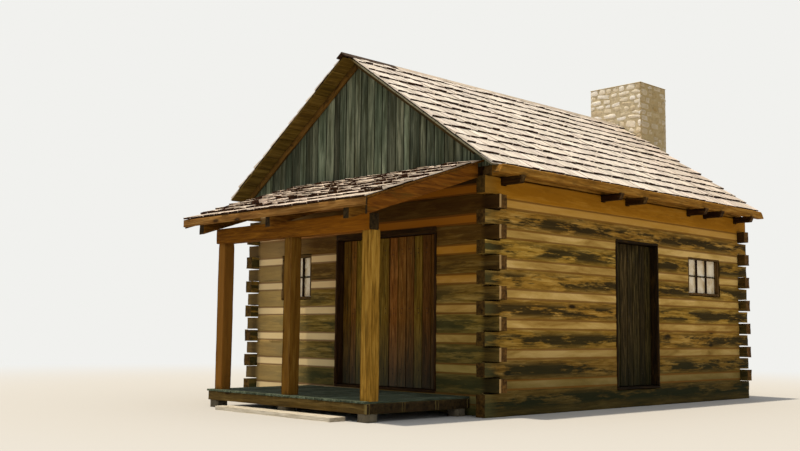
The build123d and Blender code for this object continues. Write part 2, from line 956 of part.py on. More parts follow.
# Roof structure and covering
nodes["wall_plates"] = [wall_plate(1), wall_plate(-1)]
nodes["tie_beams"] = [tie_beam(low) for low in tie_lows]
nodes["eave_planks"] = [eave_plank(1), eave_plank(-1)]
rafter_step = (body_length - rafter_width) / (rafter_pairs - 1)
nodes["rafters"] = [
    rafter(side, front_face + number * rafter_step) for side in (1, -1) for number in range(rafter_pairs)
]
nodes["verge_rafters"] = [verge_rafter(side, back) for side in (1, -1) for back in (False, True)]
nodes["gable_boards"] = [gable(False), gable(True)]
nodes["roof_boards"] = roof_boards(1) + roof_boards(-1)
nodes["roof_shakes"] = roof_shakes(1) + roof_shakes(-1)
nodes["ridge_cap"] = ridge_cap_boards()

# Chimney and floor
nodes["chimney_base"] = [chimney_base()]
nodes["chimney_shoulder"] = [chimney_shoulder()]
nodes["chimney_stack"] = [chimney_stack()]
nodes["floor_sleepers"] = sleepers()
nodes["floor_boards"] = [floor_boards()]

# Door and window frames with their glass
nodes["front_door_frame"] = front_door_frame()
nodes["side_door_frame"] = side_door_frame()
window_frames, window_panes = [], []
for side in (1, -1):
    frame, pane = window_parts(
        side_window_low, side_window_width, side_window_foot, side_window_height, side_window_place(side),
    )
    window_frames += frame
    window_panes.append(pane)
frame, pane = window_parts(
    front_window_left, front_window_width, front_window_foot, front_window_height, front_window_place
)
nodes["window_frames"] = window_frames + frame
nodes["window_glass"] = window_panes + [pane]

# Doors: each leaf and its hinges are made at the axis and then set in place
front_leaf_width = (front_door_width - 2 * leaf_edge_gap - leaf_meeting_gap) / 2
front_leaf_height = front_door_height - 2 * leaf_sill_gap
side_leaf_width = side_door_width - 2 * leaf_edge_gap
side_leaf_height = side_door_height - 2 * leaf_sill_gap
leaf_foot = door_foot + leaf_sill_gap
front_axis_y = -inner_y + hinge_offset
side_axis_x = inner_x - hinge_offset
left_place = Pos(front_door_left_edge, front_axis_y, leaf_foot)
right_place = Pos(front_door_right_edge, front_axis_y, leaf_foot)
side_place = Pos(side_axis_x, side_door_low, leaf_foot) * Rot(0, 0, 90)
front_leaf = door_leaf(front_leaf_width, front_leaf_height)
front_straps = door_straps(front_leaf_height)
front_pintles = door_pintles(front_leaf_height)
nodes["front_door_left"] = [left_place * front_leaf]
nodes["front_door_left_straps"] = [left_place * strap for strap in front_straps]
nodes["front_door_right"] = [right_place * mirror(front_leaf, Plane.YZ)]
nodes["front_door_right_straps"] = [right_place * mirror(s, Plane.YZ) for s in front_straps]
nodes["side_door"] = [side_place * door_leaf(side_leaf_width, side_leaf_height)]
nodes["side_door_straps"] = [side_place * strap for strap in door_straps(side_leaf_height)]
nodes["door_pintles"] = (
    [left_place * pintle for pintle in front_pintles]
    + [right_place * mirror(pintle, Plane.YZ) for pintle in front_pintles]
    + [side_place * pintle for pintle in door_pintles(side_leaf_height)]
)

# Porch
nodes["porch_deck"] = [
    block(deck_left, deck_right, front_face - deck_reach, front_face, deck_level - deck_board, deck_level)
]
nodes["porch_deck_frame"] = deck_frame()
nodes["porch_footings"] = footings()
nodes["porch_posts"] = posts()
nodes["porch_beam"] = [porch_beam()]
nodes["porch_rafters"] = porch_rafters()
nodes["porch_roof_boards"] = [porch_roof_boards()]
nodes["porch_shakes"] = [porch_shakes()]
nodes["porch_trim"] = porch_trim()
nodes["porch_step"] = [step_plank()]

# The plan is centred on the origin before it is written
whole = Compound([solid for solids in nodes.values() for solid in solids]).bounding_box()
shift = Pos(-(whole.min.X + whole.max.X) / 2, -(whole.min.Y + whole.max.Y) / 2, 0)
for name, solids in nodes.items():
    export_step(Compound([shift * solid for solid in solids]), f"parts/{name}.step")

offset = shift.position
print("plan shift", round(offset.X, 4), round(offset.Y, 4))
print("front left hinge", front_door_left_edge + offset.X, front_axis_y + offset.Y)
print("front right hinge", front_door_right_edge + offset.X, front_axis_y + offset.Y)
print("side hinge", side_axis_x + offset.X, side_door_low + offset.Y)
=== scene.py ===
import bpy
import json
import math
import random
from functools import partial
from mathutils import Matrix, Vector


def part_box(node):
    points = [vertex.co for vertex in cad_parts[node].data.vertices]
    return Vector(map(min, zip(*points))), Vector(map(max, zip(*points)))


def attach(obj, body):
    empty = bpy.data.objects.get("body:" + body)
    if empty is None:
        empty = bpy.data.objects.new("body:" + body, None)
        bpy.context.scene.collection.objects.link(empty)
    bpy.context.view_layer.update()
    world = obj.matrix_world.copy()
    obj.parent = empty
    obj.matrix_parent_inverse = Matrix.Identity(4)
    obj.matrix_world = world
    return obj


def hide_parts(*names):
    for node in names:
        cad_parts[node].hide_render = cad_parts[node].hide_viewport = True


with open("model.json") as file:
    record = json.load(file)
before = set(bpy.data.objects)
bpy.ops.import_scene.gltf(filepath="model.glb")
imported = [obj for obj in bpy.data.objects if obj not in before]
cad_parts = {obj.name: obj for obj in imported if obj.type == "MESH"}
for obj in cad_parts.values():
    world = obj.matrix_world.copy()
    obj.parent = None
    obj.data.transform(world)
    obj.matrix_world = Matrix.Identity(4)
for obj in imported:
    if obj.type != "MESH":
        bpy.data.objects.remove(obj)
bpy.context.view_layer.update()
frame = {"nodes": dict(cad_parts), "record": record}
nodes = frame["nodes"]
slotOf = {row["node"]: row["material_slot"] for row in frame["record"]["subparts"]}
print("frame loaded with", len(nodes), "nodes")

# Everything is in metres: X right along the front wall, Y back, Z up


def linearColour(hexColour):  # sRGB hex to the linear colour that a shader takes
    parts = [int(hexColour[i:i + 2], 16) / 255 for i in (1, 3, 5)]
    return [c / 12.92 if c <= 0.04045 else ((c + 0.055) / 1.055) ** 2.4 for c in parts] + [1.0]


def addNode(tree, kind, settings=None, links=None):
    # a settings key is a socket's name or number, a property, or the stops of a colour ramp
    # a link starts at a socket, or at a node's first output
    node = tree.nodes.new("ShaderNode" + kind)
    for key, value in (settings or {}).items():
        if key == "stops":
            elements = node.color_ramp.elements
            while len(elements) < len(value):
                elements.new(0.5)
            for element, (position, hexColour) in zip(elements, value):
                element.position = position
                element.color = linearColour(hexColour)
        elif isinstance(key, int) or key in node.inputs:
            node.inputs[key].default_value = value
        else:
            setattr(node, key, value)
    for key, source in (links or {}).items():
        tree.links.new(getattr(source, "outputs", [source])[0], node.inputs[key])
    return node


# Camera, floor and light

view = {
    "place": (9.795, -11.103, 0.932),
    "yaw": math.radians(46.087),
    "pitch": math.radians(5.999),
    "roll": math.radians(0.619),
    "lens": 45.75,
    "sensor": 36.0,
}
stage = {
    "floorSize": 120.0,
    "floorColour": "#bcb8b0",
    "backdrop": "#f1f1ee",
    "fadeFrom": 6.0,      # metres from the middle at which the floor starts to turn into the backdrop
    "fadeTo": 17.0,
    "skyLight": "#eef3fb",
    "skyStrength": 0.75,
    "sunDirection": (-0.10, -0.16, 0.98),
    "sunColour": "#fff4e2",
    "sunStrength": 3.5,
    "sunAngle": math.radians(2.0),
}


def makeCamera():
    bpy.ops.object.camera_add(location=view["place"])
    camera = bpy.context.object
    turn = Matrix.Rotation(view["yaw"], 4, "Z") @ Matrix.Rotation(math.pi / 2 + view["pitch"], 4, "X")
    turn = turn @ Matrix.Rotation(view["roll"], 4, "Z")
    camera.matrix_world = Matrix.Translation(view["place"]) @ turn
    camera.data.lens = view["lens"]
    camera.data.sensor_width = view["sensor"]
    camera.data.clip_end = 200
    bpy.context.scene.camera = camera


def makeStage():
    bpy.ops.mesh.primitive_plane_add(size=stage["floorSize"])
    floor = bpy.context.object
    floor.name = "studio_floor"
    material = bpy.data.materials.new("paleStudioFloor")
    material.use_nodes = True
    tree = material.node_tree
    add = partial(addNode, tree)
    shader = tree.nodes["Principled BSDF"]
    shader.inputs["Base Color"].default_value = linearColour(stage["floorColour"])
    shader.inputs["Roughness"].default_value = 0.9
    shader.inputs["Specular IOR Level"].default_value = 0.0
    away = add("VectorMath", {"operation": "LENGTH"}, {0: add("TexCoord").outputs["Object"]}).outputs["Value"]
    fade = add("MapRange", {"interpolation_type": "SMOOTHSTEP", "From Min": stage["fadeFrom"],
                            "From Max": stage["fadeTo"]}, {"Value": away})
    ray = add("LightPath").outputs
    seen = add("Math", {"operation": "MAXIMUM"}, {0: ray["Is Camera Ray"], 1: ray["Is Glossy Ray"]})
    share = add("Math", {"operation": "MULTIPLY"}, {0: fade, 1: seen})
    glow = add("Emission", {"Color": linearColour(stage["backdrop"]), "Strength": 1.0})
    mixed = add("MixShader", {}, {0: share, 1: shader, 2: glow})
    tree.links.new(mixed.outputs[0], tree.nodes["Material Output"].inputs["Surface"])
    floor.data.materials.append(material)

    world = bpy.data.worlds.new("studioSky")
    bpy.context.scene.world = world
    world.use_nodes = True
    world.node_tree.nodes.clear()
    add = partial(addNode, world.node_tree)
    ray = add("LightPath").outputs
    seen = add("Math", {"operation": "MAXIMUM"}, {0: ray["Is Camera Ray"], 1: ray["Is Glossy Ray"]})
    seen = add("Math", {"operation": "MAXIMUM"}, {0: seen, 1: ray["Is Transmission Ray"]})
    light = add("Background", {"Color": linearColour(stage["skyLight"]), "Strength": stage["skyStrength"]})
    shown = add("Background", {"Color": linearColour(stage["backdrop"]), "Strength": 1.0})
    add("OutputWorld", {}, {"Surface": add("MixShader", {}, {0: seen, 1: light, 2: shown})})

    bpy.ops.object.light_add(type="SUN", location=(6, -7, 10))
    sun = bpy.context.object
    sun.rotation_euler = Vector(stage["sunDirection"]).to_track_quat("Z", "Y").to_euler()
    sun.data.energy = stage["sunStrength"]
    sun.data.color = linearColour(stage["sunColour"])[:3]
    sun.data.angle = stage["sunAngle"]


makeCamera()
makeStage()
bpy.context.scene.view_settings.view_transform = "Standard"
print("camera, floor and light are set")

# Finishes: what all of them share


def newFinish(name, jumps):  # each separate log, board or stone starts its pattern somewhere else
    material = bpy.data.materials.new(name)
    material.use_nodes = True
    add = partial(addNode, material.node_tree)
    coordinate = add("TexCoord").outputs
    island = add("NewGeometry").outputs["Random Per Island"]
    jump = add("VectorMath", {"operation": "SCALE", 0: jumps}, {"Scale": island})
    place = add("VectorMath", {"operation": "ADD"}, {0: coordinate["Object"], 1: jump})
    depth = add("SeparateXYZ", {}, {0: coordinate["Object"]}).outputs
    return material, add, coordinate, island, place, depth


def washes(add, depth, rows):
    # colours that deepen along one axis, used for stains and for painted light and shade: (axis, nothing at, full at,
    # colour, share); sideways is |X|
    masks = []
    for axis, start, end, hexColour, share in rows:
        distance = depth["X" if axis == "sideways" else axis]
        if axis == "sideways":
            distance = add("Math", {"operation": "ABSOLUTE"}, {0: distance})
        amount = add("MapRange", {"From Min": start, "From Max": end, "To Max": share}, {"Value": distance})
        masks.append((amount, hexColour))
    return masks


def layOver(add, colour, masks):  # lays flat colours over a colour, each where its mask says
    for mask, hexColour in masks:
        colour = add("Mix", {"data_type": "RGBA", 7: linearColour(hexColour)}, {0: mask, 6: colour}).outputs[2]
    return colour


def closeFinish(material, add, colour, rough, height, relief, gloss):
    # rough is (source, least, most) and relief is (strength, depth in metres)
    dull = add("MapRange", {"To Min": rough[1], "To Max": rough[2]}, {"Value": rough[0]})
    bump = add("Bump", {"Strength": relief[0], "Distance": relief[1]}, {"Height": height})
    sockets = material.node_tree.nodes["Principled BSDF"].inputs
    sockets["Specular IOR Level"].default_value = gloss
    for name, source in (("Base Color", colour), ("Roughness", dull.outputs[0]), ("Normal", bump.outputs[0])):
        material.node_tree.links.new(source, sockets[name])
    return sockets


# Timber finishes. Sizes in a look are in millimetres: fibre and streak across the grain, patch across and along

def timber(name, grain, look):
    material, add, coordinate, island, place, depth = newFinish(name, (31.0, 17.0, 23.0))

    def drawnOut(across, along):
        scale = [1000 / along if axis in grain else 1000 / across for axis in range(3)]
        return add("Mapping", {"Scale": scale}, {"Vector": place})

    def grainNoise(across, along, settings):
        return add("TexNoise", {"Scale": 1.0, **settings}, {"Vector": drawnOut(across, along)})

    fibre = grainNoise(look["fibre"], look["fibre"] * 28, {"Detail": 5.0, "Roughness": 0.65, "Distortion": 0.4})
    streak = grainNoise(look["streak"], look["streak"] * 14, {"Detail": 4.0, "Roughness": 0.6, "Distortion": 0.6})
    fibreShare = look.get("fibreShare", 0.45)
    tone = add("Math", {"operation": "MULTIPLY", 1: fibreShare}, {0: fibre})
    tone = add("Math", {"operation": "MULTIPLY_ADD", 1: 1 - fibreShare}, {0: streak, 2: tone})
    colour = add("ValToRGB", {"stops": list(zip((0.34, 0.49, 0.64), look["tones"]))}, {"Fac": tone}).outputs[0]

    # weathered patches with streaky edges, kept to the middle of a log's face where a course is given
    across, along = look["patch"]
    patch = grainNoise(across, along, {"Detail": 6.0, "Roughness": 0.6, "Distortion": 0.25})
    ragged = grainNoise(across * 0.16, along * 0.3, {"Detail": 4.0, "Roughness": 0.7})
    ragged = add("Math", {"operation": "MULTIPLY", 1: 0.3}, {0: ragged})
    patch = add("Math", {"operation": "MULTIPLY_ADD", 1: 0.7}, {0: patch, 2: ragged})
    edge = look["patchFrom"]
    patch = add("MapRange", {"From Min": edge, "From Max": edge + look.get("patchSoft", 0.09),
                             "To Max": look["patchShare"]}, {"Value": patch})
    if "course" in look:
        foot, pitch, middle = look["course"]
        height = add("Math", {"operation": "MULTIPLY_ADD", 1: 1 / pitch, 2: -foot / pitch}, {0: depth["Z"]})
        for operation, amount in (("FRACT", 0), ("SUBTRACT", middle), ("ABSOLUTE", 0)):
            height = add("Math", {"operation": operation, 1: amount}, {0: height})
        height = add("MapRange", {"From Min": 0.12, "From Max": 0.33, "To Min": 1.0, "To Max": 0.15},
                     {"Value": height})
        patch = add("Math", {"operation": "MULTIPLY"}, {0: patch, 1: height})

    # drying checks: thin dark lines along the grain that come and go
    line = grainNoise(look["fibre"] * 1.3, look["fibre"] * 60, {"Detail": 1.5, "Distortion": 0.3})
    for operation, amount in (("SUBTRACT", 0.5), ("ABSOLUTE", 0)):
        line = add("Math", {"operation": operation, 1: amount}, {0: line})
    line = add("MapRange", {"From Max": 0.02, "To Min": 1.0, "To Max": 0.0}, {"Value": line})
    sparse = grainNoise(look["streak"] * 1.5, look["streak"] * 9, {"Detail": 2.0})
    sparse = add("MapRange", {"From Min": 0.50, "From Max": 0.60, "To Max": look.get("checks", 0.75)},
                 {"Value": sparse})
    check = add("Math", {"operation": "MULTIPLY"}, {0: line, 1: sparse})
    masks = [(patch, look["patchColour"]), (check, look["checkColour"])]

    if "knots" in look:  # sparse dark knots, drawn out along the grain: cell across and along, radius as a share
        across, along, radius = look["knots"]
        cells = add("TexVoronoi", {"Scale": 1.0}, {"Vector": drawnOut(across, along)}).outputs
        ring = add("MapRange", {"From Min": radius, "From Max": radius * 0.45, "To Max": 0.9},
                   {"Value": cells["Distance"]})
        pick = add("SeparateXYZ", {}, {0: cells["Color"]})
        pick = add("Math", {"operation": "GREATER_THAN", 1: 0.6}, {0: pick})
        masks.append((add("Math", {"operation": "MULTIPLY"}, {0: ring, 1: pick}), look["checkColour"]))
    colour = layOver(add, colour, masks + washes(add, depth, look.get("washes", [])))

    if "end" in look:  # end grain on the faces that look along the fibres; on the butts of shakes it is darker end grain with painted shade under each course
        if look.get("butts"):
            seenFrom, seenTo = -0.14, -0.26
            facing = add("SeparateXYZ", {}, {0: coordinate["Normal"]}).outputs["Z"]
        else:
            seenFrom, seenTo = 0.7, 0.9
            along = [float(axis == grain[0]) for axis in range(3)]
            facing = add("VectorMath", {"operation": "DOT_PRODUCT", 1: along}, {0: coordinate["Normal"]})
            facing = add("Math", {"operation": "ABSOLUTE"}, {0: facing.outputs["Value"]})
        facing = add("MapRange", {"From Min": seenFrom, "From Max": seenTo}, {"Value": facing})
        blotch = add("TexNoise", {"Scale": 1000 / 45, "Detail": 6.0, "Roughness": 0.7}, {"Vector": place})
        endColour = add("ValToRGB", {"stops": list(zip((0.35, 0.65), look["end"]))}, {"Fac": blotch}).outputs[0]
        endColour = layOver(add, endColour, washes(add, depth, look.get("endWashes", [])))
        colour = add("Mix", {"data_type": "RGBA"}, {0: facing, 6: colour, 7: endColour}).outputs[2]

    spread, warm = look["spread"], look.get("hueSpread", 0.008)
    shift = add("Math", {"operation": "MULTIPLY_ADD", 1: spread, 2: 1 - spread / 2}, {0: island})
    other = add("Math", {"operation": "MULTIPLY", 1: 7.31}, {0: island})
    other = add("Math", {"operation": "FRACT"}, {0: other})
    hue = add("Math", {"operation": "MULTIPLY_ADD", 1: warm, 2: 0.5 - warm / 2}, {0: other})
    colour = add("HueSaturation", {}, {"Hue": hue, "Value": shift, "Color": colour}).outputs[0]
    raised = add("Math", {"operation": "SUBTRACT"}, {0: tone, 1: check})
    closeFinish(material, add, colour, (fibre, look.get("rough", 0.78), 0.97), raised,
                (look.get("relief", 0.55), 0.006), 0.08)
    return material


# Hewn logs: the eye sees golden brown margins, dark olive weather patches and fine grain along each log
sideLogLook = {
    "fibre": 9, "streak": 42, "fibreShare": 0.35, "tones": ("#64440d", "#9a7328", "#c29c4e"),
    "patch": (135, 760), "patchFrom": 0.445, "patchSoft": 0.07, "patchShare": 0.93, "patchColour": "#251e08",
    "checkColour": "#1a0f03", "course": (0.055, 0.345, 0.33), "end": ("#201404", "#584018"), "spread": 0.16,
    "knots": (210, 620, 0.16),
    # the dark green wash towards the foot is painted shade from the ground
    "washes": [("Z", 1.05, 0.10, "#1a2210", 0.84), ("Z", 2.38, 2.50, "#a86c0c", 0.78),
               ("Y", -2.30, -2.46, "#5a5a36", 0.30)],
}
frontLogLook = {
    "fibre": 9, "streak": 42, "fibreShare": 0.35, "tones": ("#4f3e10", "#886d2c", "#b29650"),
    "patch": (125, 640), "patchFrom": 0.455, "patchShare": 0.86, "patchColour": "#38371a",
    "checkColour": "#1c1103", "course": (0.2275, 0.345, 0.33), "end": ("#2e1c08", "#6e4d22"), "spread": 0.2,
    # the dark green towards the foot and the dark bands at 2.05 to 2.30 and 2.55 to 2.66 under the porch roof are
    # painted shade; the pale wash towards the left end is painted light; the dark ends near the corners are painted
    # shade from the side logs' ends, together with weather stain
    "washes": [("Z", 1.25, 0.10, "#2c331c", 0.68), ("Z", 1.10, 1.90, "#5a3606", 0.66),
               ("X", -0.9, -1.7, "#c9ab70", 0.42), ("Z", 2.05, 2.30, "#3c2004", 0.60),
               ("Z", 2.55, 2.66, "#241102", 0.75), ("X", -1.5, -2.1, "#75592c", 0.45),
               ("sideways", 2.10, 2.18, "#221304", 0.6)],
    # the pale strip at the front of each log end is painted sunlight
    "endWashes": [("Y", -2.378, -2.400, "#c4a06a", 0.75)],
}
roofTimberLook = {
    "fibre": 8, "streak": 34, "tones": ("#54340a", "#85591a", "#a67a36"),
    "patch": (70, 300), "patchFrom": 0.53, "patchShare": 0.5, "patchColour": "#4a3410",
    "checkColour": "#1f1203", "end": ("#2c1a06", "#6b4f28"), "spread": 0.2, "knots": (160, 520, 0.2),
}
porchTimberLook = {
    "fibre": 8, "streak": 34, "fibreShare": 0.35, "tones": ("#5a3c0a", "#8c6420", "#ad8438"),
    "patch": (60, 420), "patchFrom": 0.54, "patchShare": 0.5, "patchColour": "#57400f",
    # the near-black end colour is end grain with painted shade
    "checkColour": "#2c1803", "end": ("#150e06", "#3f3018"), "spread": 0.12, "knots": (150, 420, 0.2),
}

sideLogWood = timber("hewnSideLogWood", (1,), sideLogLook)
frontLogWood = timber("hewnFrontLogWood", (0,), frontLogLook)
roofTimberWood = timber("hewnRoofTimberAlongY", (1,), roofTimberLook)
# the near-black tones of the tie beams are painted shade under the eave planks
tieWood = timber("hewnTieBeamWood", (0,), {
    **roofTimberLook, "tones": ("#140a02", "#2c1804", "#4a2e0e"), "end": ("#1a0f04", "#5e4420"),
})
# the dark wash where X is above 0 is painted shade on the rafters of the right slope
rafterWood = timber("hewnRafterWood", (0, 2), {
    **roofTimberLook, "tones": ("#33240a", "#5d4318", "#7b5a28"), "washes": [("X", -0.2, 0.2, "#2b2612", 0.75)],
})
postWood = timber("hewnPostWood", (2,), {
    **porchTimberLook, "washes": [("X", 1.6, 0.7, "#4f2c04", 0.66), ("X", 0.2, -0.7, "#865620", 0.6)],
})
beamWood = timber("hewnPorchBeamWood", (0,), {
    **porchTimberLook, "tones": ("#452603", "#6c4006", "#8c5a14"), "patchColour": "#3a2003",
    "washes": [("X", 0.6, 1.4, "#925608", 0.5)],
})
porchRafterWood = timber("hewnPorchRafterWood", (1,), {
    **porchTimberLook, "tones": ("#422504", "#6a4210", "#8d6224"), "patchColour": "#351f06",
})
rakeWood = timber("sawnRakeBoardWood", (1,), {**porchTimberLook, "tones": ("#452603", "#6c3f07", "#885614")})
eaveWood = timber("sawnEaveBoardWood", (0,), {**porchTimberLook, "tones": ("#4e300c", "#7c5524", "#9c763e")})
deckFrameWood = timber("sawnDeckJoistWood", (0,), {
    **porchTimberLook, "tones": ("#32250e", "#56431f", "#745e32"), "washes": [("X", 1.90, 1.95, "#857444", 0.85)],
})

# Split shakes: the eye sees pale pinkish tan boards with fine split lines up the slope
shakeLook = {
    "fibre": 6, "streak": 22, "fibreShare": 0.55, "tones": ("#ab9984", "#d6c9b8", "#e3d9cc"),
    "patch": (60, 160), "patchFrom": 0.60, "patchShare": 0.5, "patchColour": "#9a816a",
    "checkColour": "#5b4632", "checks": 0.7, "spread": 0.28, "hueSpread": 0.016, "rough": 0.85, "relief": 0.7,
    # the near-black butts are darker end grain with painted shade under each course
    "butts": True, "end": ("#1a0e06", "#442c1a"),
}
shakeWood = timber("splitRoofShake", (0, 2), {**shakeLook, "washes": [("Y", 1.2, 3.3, "#ab8a66", 0.25)]})
starterWood = timber("paleStarterShake", (0, 2), {**shakeLook, "butts": False, "end": ("#c9b9a4", "#e0d4c5")})
porchShakeWood = timber("splitPorchShake", (1,), {
    **shakeLook, "tones": ("#8a705a", "#cbb8a2", "#eaddcc"), "patchColour": "#6d5644", "spread": 0.38,
})
ridgeWood = timber("weatheredRidgeBoard", (1,), {
    **shakeLook, "tones": ("#7f6d5b", "#b9a994", "#d6c8b6"), "patchColour": "#6b5846", "spread": 0.3,
})
ridgeEndWood = timber("darkRidgeBoard", (1,), {
    **shakeLook, "tones": ("#241a12", "#43352a", "#5e4f42"), "patchColour": "#1e1711", "spread": 0.2,
})

# Sawn boards: the gable reads grey-green, the doors dark brown, the deck dull grey-green underfoot
boardLook = {
    "fibre": 7, "streak": 30, "patch": (80, 500), "patchFrom": 0.55, "patchShare": 0.5, "checkColour": "#1a0f04",
    "spread": 0.3,
}
gableWood = timber("weatheredGableBoard", (2,), {
    **boardLook, "fibre": 8, "streak": 60, "fibreShare": 0.3, "tones": ("#2c3023", "#4d5240", "#7b7f68"),
    "patch": (80, 900), "patchFrom": 0.50, "patchShare": 0.6, "patchColour": "#353520",
    "checkColour": "#12140c", "spread": 0.75, "hueSpread": 0.06, "relief": 0.5,
})
# the near-black lining is painted shade for the gaps between the gable boards
liningWood = timber("darkGableLining", (2,), {
    **boardLook, "fibre": 8, "streak": 40, "tones": ("#100d06", "#1d180c", "#2c2414"), "patchColour": "#141008",
    "checkColour": "#0a0703",
})
soffitWood = timber("sawnRoofBoard", (1,), {
    **boardLook, "fibre": 9, "streak": 60, "fibreShare": 0.3, "tones": ("#382a0c", "#574315", "#6f5a28"),
    "patchColour": "#3a2c0e", "checkColour": "#1f1205", "washes": [("X", 0.05, 0.3, "#7d7862", 0.8)],
})
porchSoffitWood = timber("sawnPorchRoofBoard", (0,), {
    **boardLook, "tones": ("#3a2004", "#5c380a", "#7a5420"), "patchColour": "#33200a",
})
doorLook = {
    "fibre": 6, "streak": 26, "tones": ("#3a2307", "#704c14", "#987030"),
    "patch": (50, 600), "patchFrom": 0.52, "patchShare": 0.6, "patchColour": "#39310f",
    "checkColour": "#100702", "washes": [("Z", 1.1, 0.3, "#2f3b34", 0.68)], "spread": 0.75, "hueSpread": 0.05,
}
frontDoorWood = timber("weatheredFrontDoorBoard", (2,), doorLook)
sideDoorWood = timber("weatheredSideDoorBoard", (2,), {
    **doorLook, "tones": ("#120d03", "#2c2208", "#5e4f2c"), "patchColour": "#141004",
    "washes": [("Z", 1.0, 0.25, "#151a0c", 0.6)], "hueSpread": 0.02,
})
battenWood = timber("darkDoorLining", (2,), {
    **doorLook, "tones": ("#150c04", "#2a1a0a", "#442e14"), "washes": [], "spread": 0.3,
})
frameLook = {**roofTimberLook, "tones": ("#180e05", "#33200c", "#4c341a")}
frameWood = timber("hewnFrontFrameWood", (2,), frameLook)
frontHeadWood = timber("hewnFrontHeadWood", (0,), frameLook)
sideFrameLook = {**roofTimberLook, "tones": ("#0c0702", "#1c1306", "#35240c")}
sideFrameWood = timber("hewnSideFrameWood", (2,), sideFrameLook)
sideHeadWood = timber("hewnSideHeadWood", (1,), sideFrameLook)
windowLook = {**roofTimberLook, "tones": ("#2b1c0b", "#4f3919", "#71572e")}
windowWood = timber("hewnWindowFrameWood", (2,), windowLook)
windowHeadWood = timber("hewnWindowHeadWood", (0, 1), windowLook)
barWood = timber("darkWindowBar", (2,), {**doorLook, "tones": ("#1a1108", "#2f2112", "#463522")})
# the dark grey-green tones are painted shade from the porch roof over grey-brown boards
deckWood = timber("weatheredDeckBoard", (1,), {
    **boardLook, "fibre": 6, "streak": 28, "tones": ("#232a1e", "#434c3b", "#747c68"),
    "patch": (70, 300), "patchFrom": 0.52, "patchColour": "#37331f", "checkColour": "#100f09", "spread": 0.7,
})
floorWood = timber("scrubbedFloorBoard", (1,), {
    **boardLook, "tones": ("#4a361e", "#6f5636", "#8f7652"), "patchShare": 0.4, "patchColour": "#42321d",
    "checkColour": "#1f150a", "spread": 0.25,
})
stepWood = timber("palePlankWood", (0,), {
    **boardLook, "tones": ("#978b76", "#c3b8a2", "#dcd3c1"), "patch": (80, 300), "patchFrom": 0.56,
    "patchShare": 0.4, "patchColour": "#9a8a70", "checkColour": "#5d503c", "end": ("#8c7f69", "#b9ad97"),
    "spread": 0.1,
})


def groundFinish(name, look):
    # stone, mortar, daub or iron: mottled tone, a coarse and a fine grit, all by size in millimetres
    material, add, coordinate, island, place, depth = newFinish(name, (13.0, 29.0, 19.0))
    drawn = add("Mapping", {"Scale": look.get("stretch", (1, 1, 1))}, {"Vector": place})
    mottle = add("TexNoise", {"Scale": 1000 / look["mottle"], "Detail": 5.0, "Roughness": 0.6, "Distortion": 0.5},
                 {"Vector": drawn})
    grit = add("TexNoise", {"Scale": 1000 / look["grit"], "Detail": 3.0, "Roughness": 0.7}, {"Vector": place})
    tone = add("Math", {"operation": "MULTIPLY", 1: look["islandShare"]}, {0: island})
    tone = add("Math", {"operation": "MULTIPLY_ADD", 1: 1 - look["islandShare"]}, {0: mottle, 2: tone})
    colour = add("ValToRGB", {"stops": look["stops"]}, {"Fac": tone}).outputs[0]
    speck = add("MapRange", {"From Min": 0.35, "From Max": 0.6, "To Min": look["speck"], "To Max": 0.0},
                {"Value": grit})
    masks = [(speck, look["speckColour"])] + washes(add, depth, look.get("washes", []))
    if "shadeLine" in look:  # painted shadow line along the top and the foot of each band of daub, where it meets the logs
        foot, pitch, band, width, hexColour = look["shadeLine"]
        height = add("Math", {"operation": "MULTIPLY_ADD", 1: 1 / pitch, 2: -foot / pitch}, {0: depth["Z"]})
        height = add("Math", {"operation": "MULTIPLY_ADD", 1: 0.03}, {0: mottle, 2: height})
        for operation, amount in (("FRACT", 0), ("SUBTRACT", band / 2 / pitch + 0.015), ("ABSOLUTE", 0)):
            height = add("Math", {"operation": operation, 1: amount}, {0: height})
        shadowLine = add("MapRange", {"From Min": (band / 2 - width) / pitch, "From Max": (band / 2 - width * 0.3) / pitch,
                                 "To Max": 0.8}, {"Value": height})
        masks.append((shadowLine, hexColour))
    height = add("Math", {"operation": "MULTIPLY_ADD", 1: 0.35}, {0: grit, 2: mottle})
    sockets = closeFinish(material, add, layOver(add, colour, masks), (grit, *look["rough"]), height,
                          (look["relief"], look["depth"] / 1000), look.get("gloss", 0.3))
    sockets["Metallic"].default_value = look.get("metal", 0.0)
    return material


# Clay and lime daub, smoothed by hand along the wall: pale tan, soft bands, a sandy surface
daubLook = {
    "mottle": 200, "grit": 7, "islandShare": 0.15, "speck": 0.22, "speckColour": "#7a5c28", "stretch": (1, 0.28, 1.5),
    "stops": [(0.32, "#8f6b2c"), (0.50, "#ba964e"), (0.66, "#d6b26c")],
    # the dark green wash towards the foot is painted shade from the ground
    "washes": [("Z", 1.0, 0.1, "#2c3318", 0.85), ("Z", 2.2, 2.4, "#b3802a", 0.7)],
    "rough": (0.85, 0.98), "relief": 0.25, "depth": 3, "gloss": 0.1, "shadeLine": (0.300, 0.345, 0.100, 0.014, "#6a420e"),
}
sideDaub = groundFinish("limeDaubSide", daubLook)
frontDaub = groundFinish("limeDaubFront", {
    **daubLook, "stretch": (0.28, 1, 1.5), "shadeLine": (0.1275, 0.345, 0.100, 0.013, "#60390c"),
    # the dark green near the foot and the dark orange band at 2.05 to 2.2 under the porch roof are painted shade; the
    # pale washes towards the left are painted light
    "washes": [("Z", 1.1, 0.2, "#747c44", 0.55), ("Z", 0.40, 0.15, "#20281c", 0.65), ("Z", 1.15, 1.8, "#b07410", 0.80),
               ("X", 0.4, -0.6, "#e9cf9c", 0.70), ("Z", 2.05, 2.2, "#96560a", 0.80),
               ("X", -1.2, -1.9, "#d9bf8c", 0.72)],
})
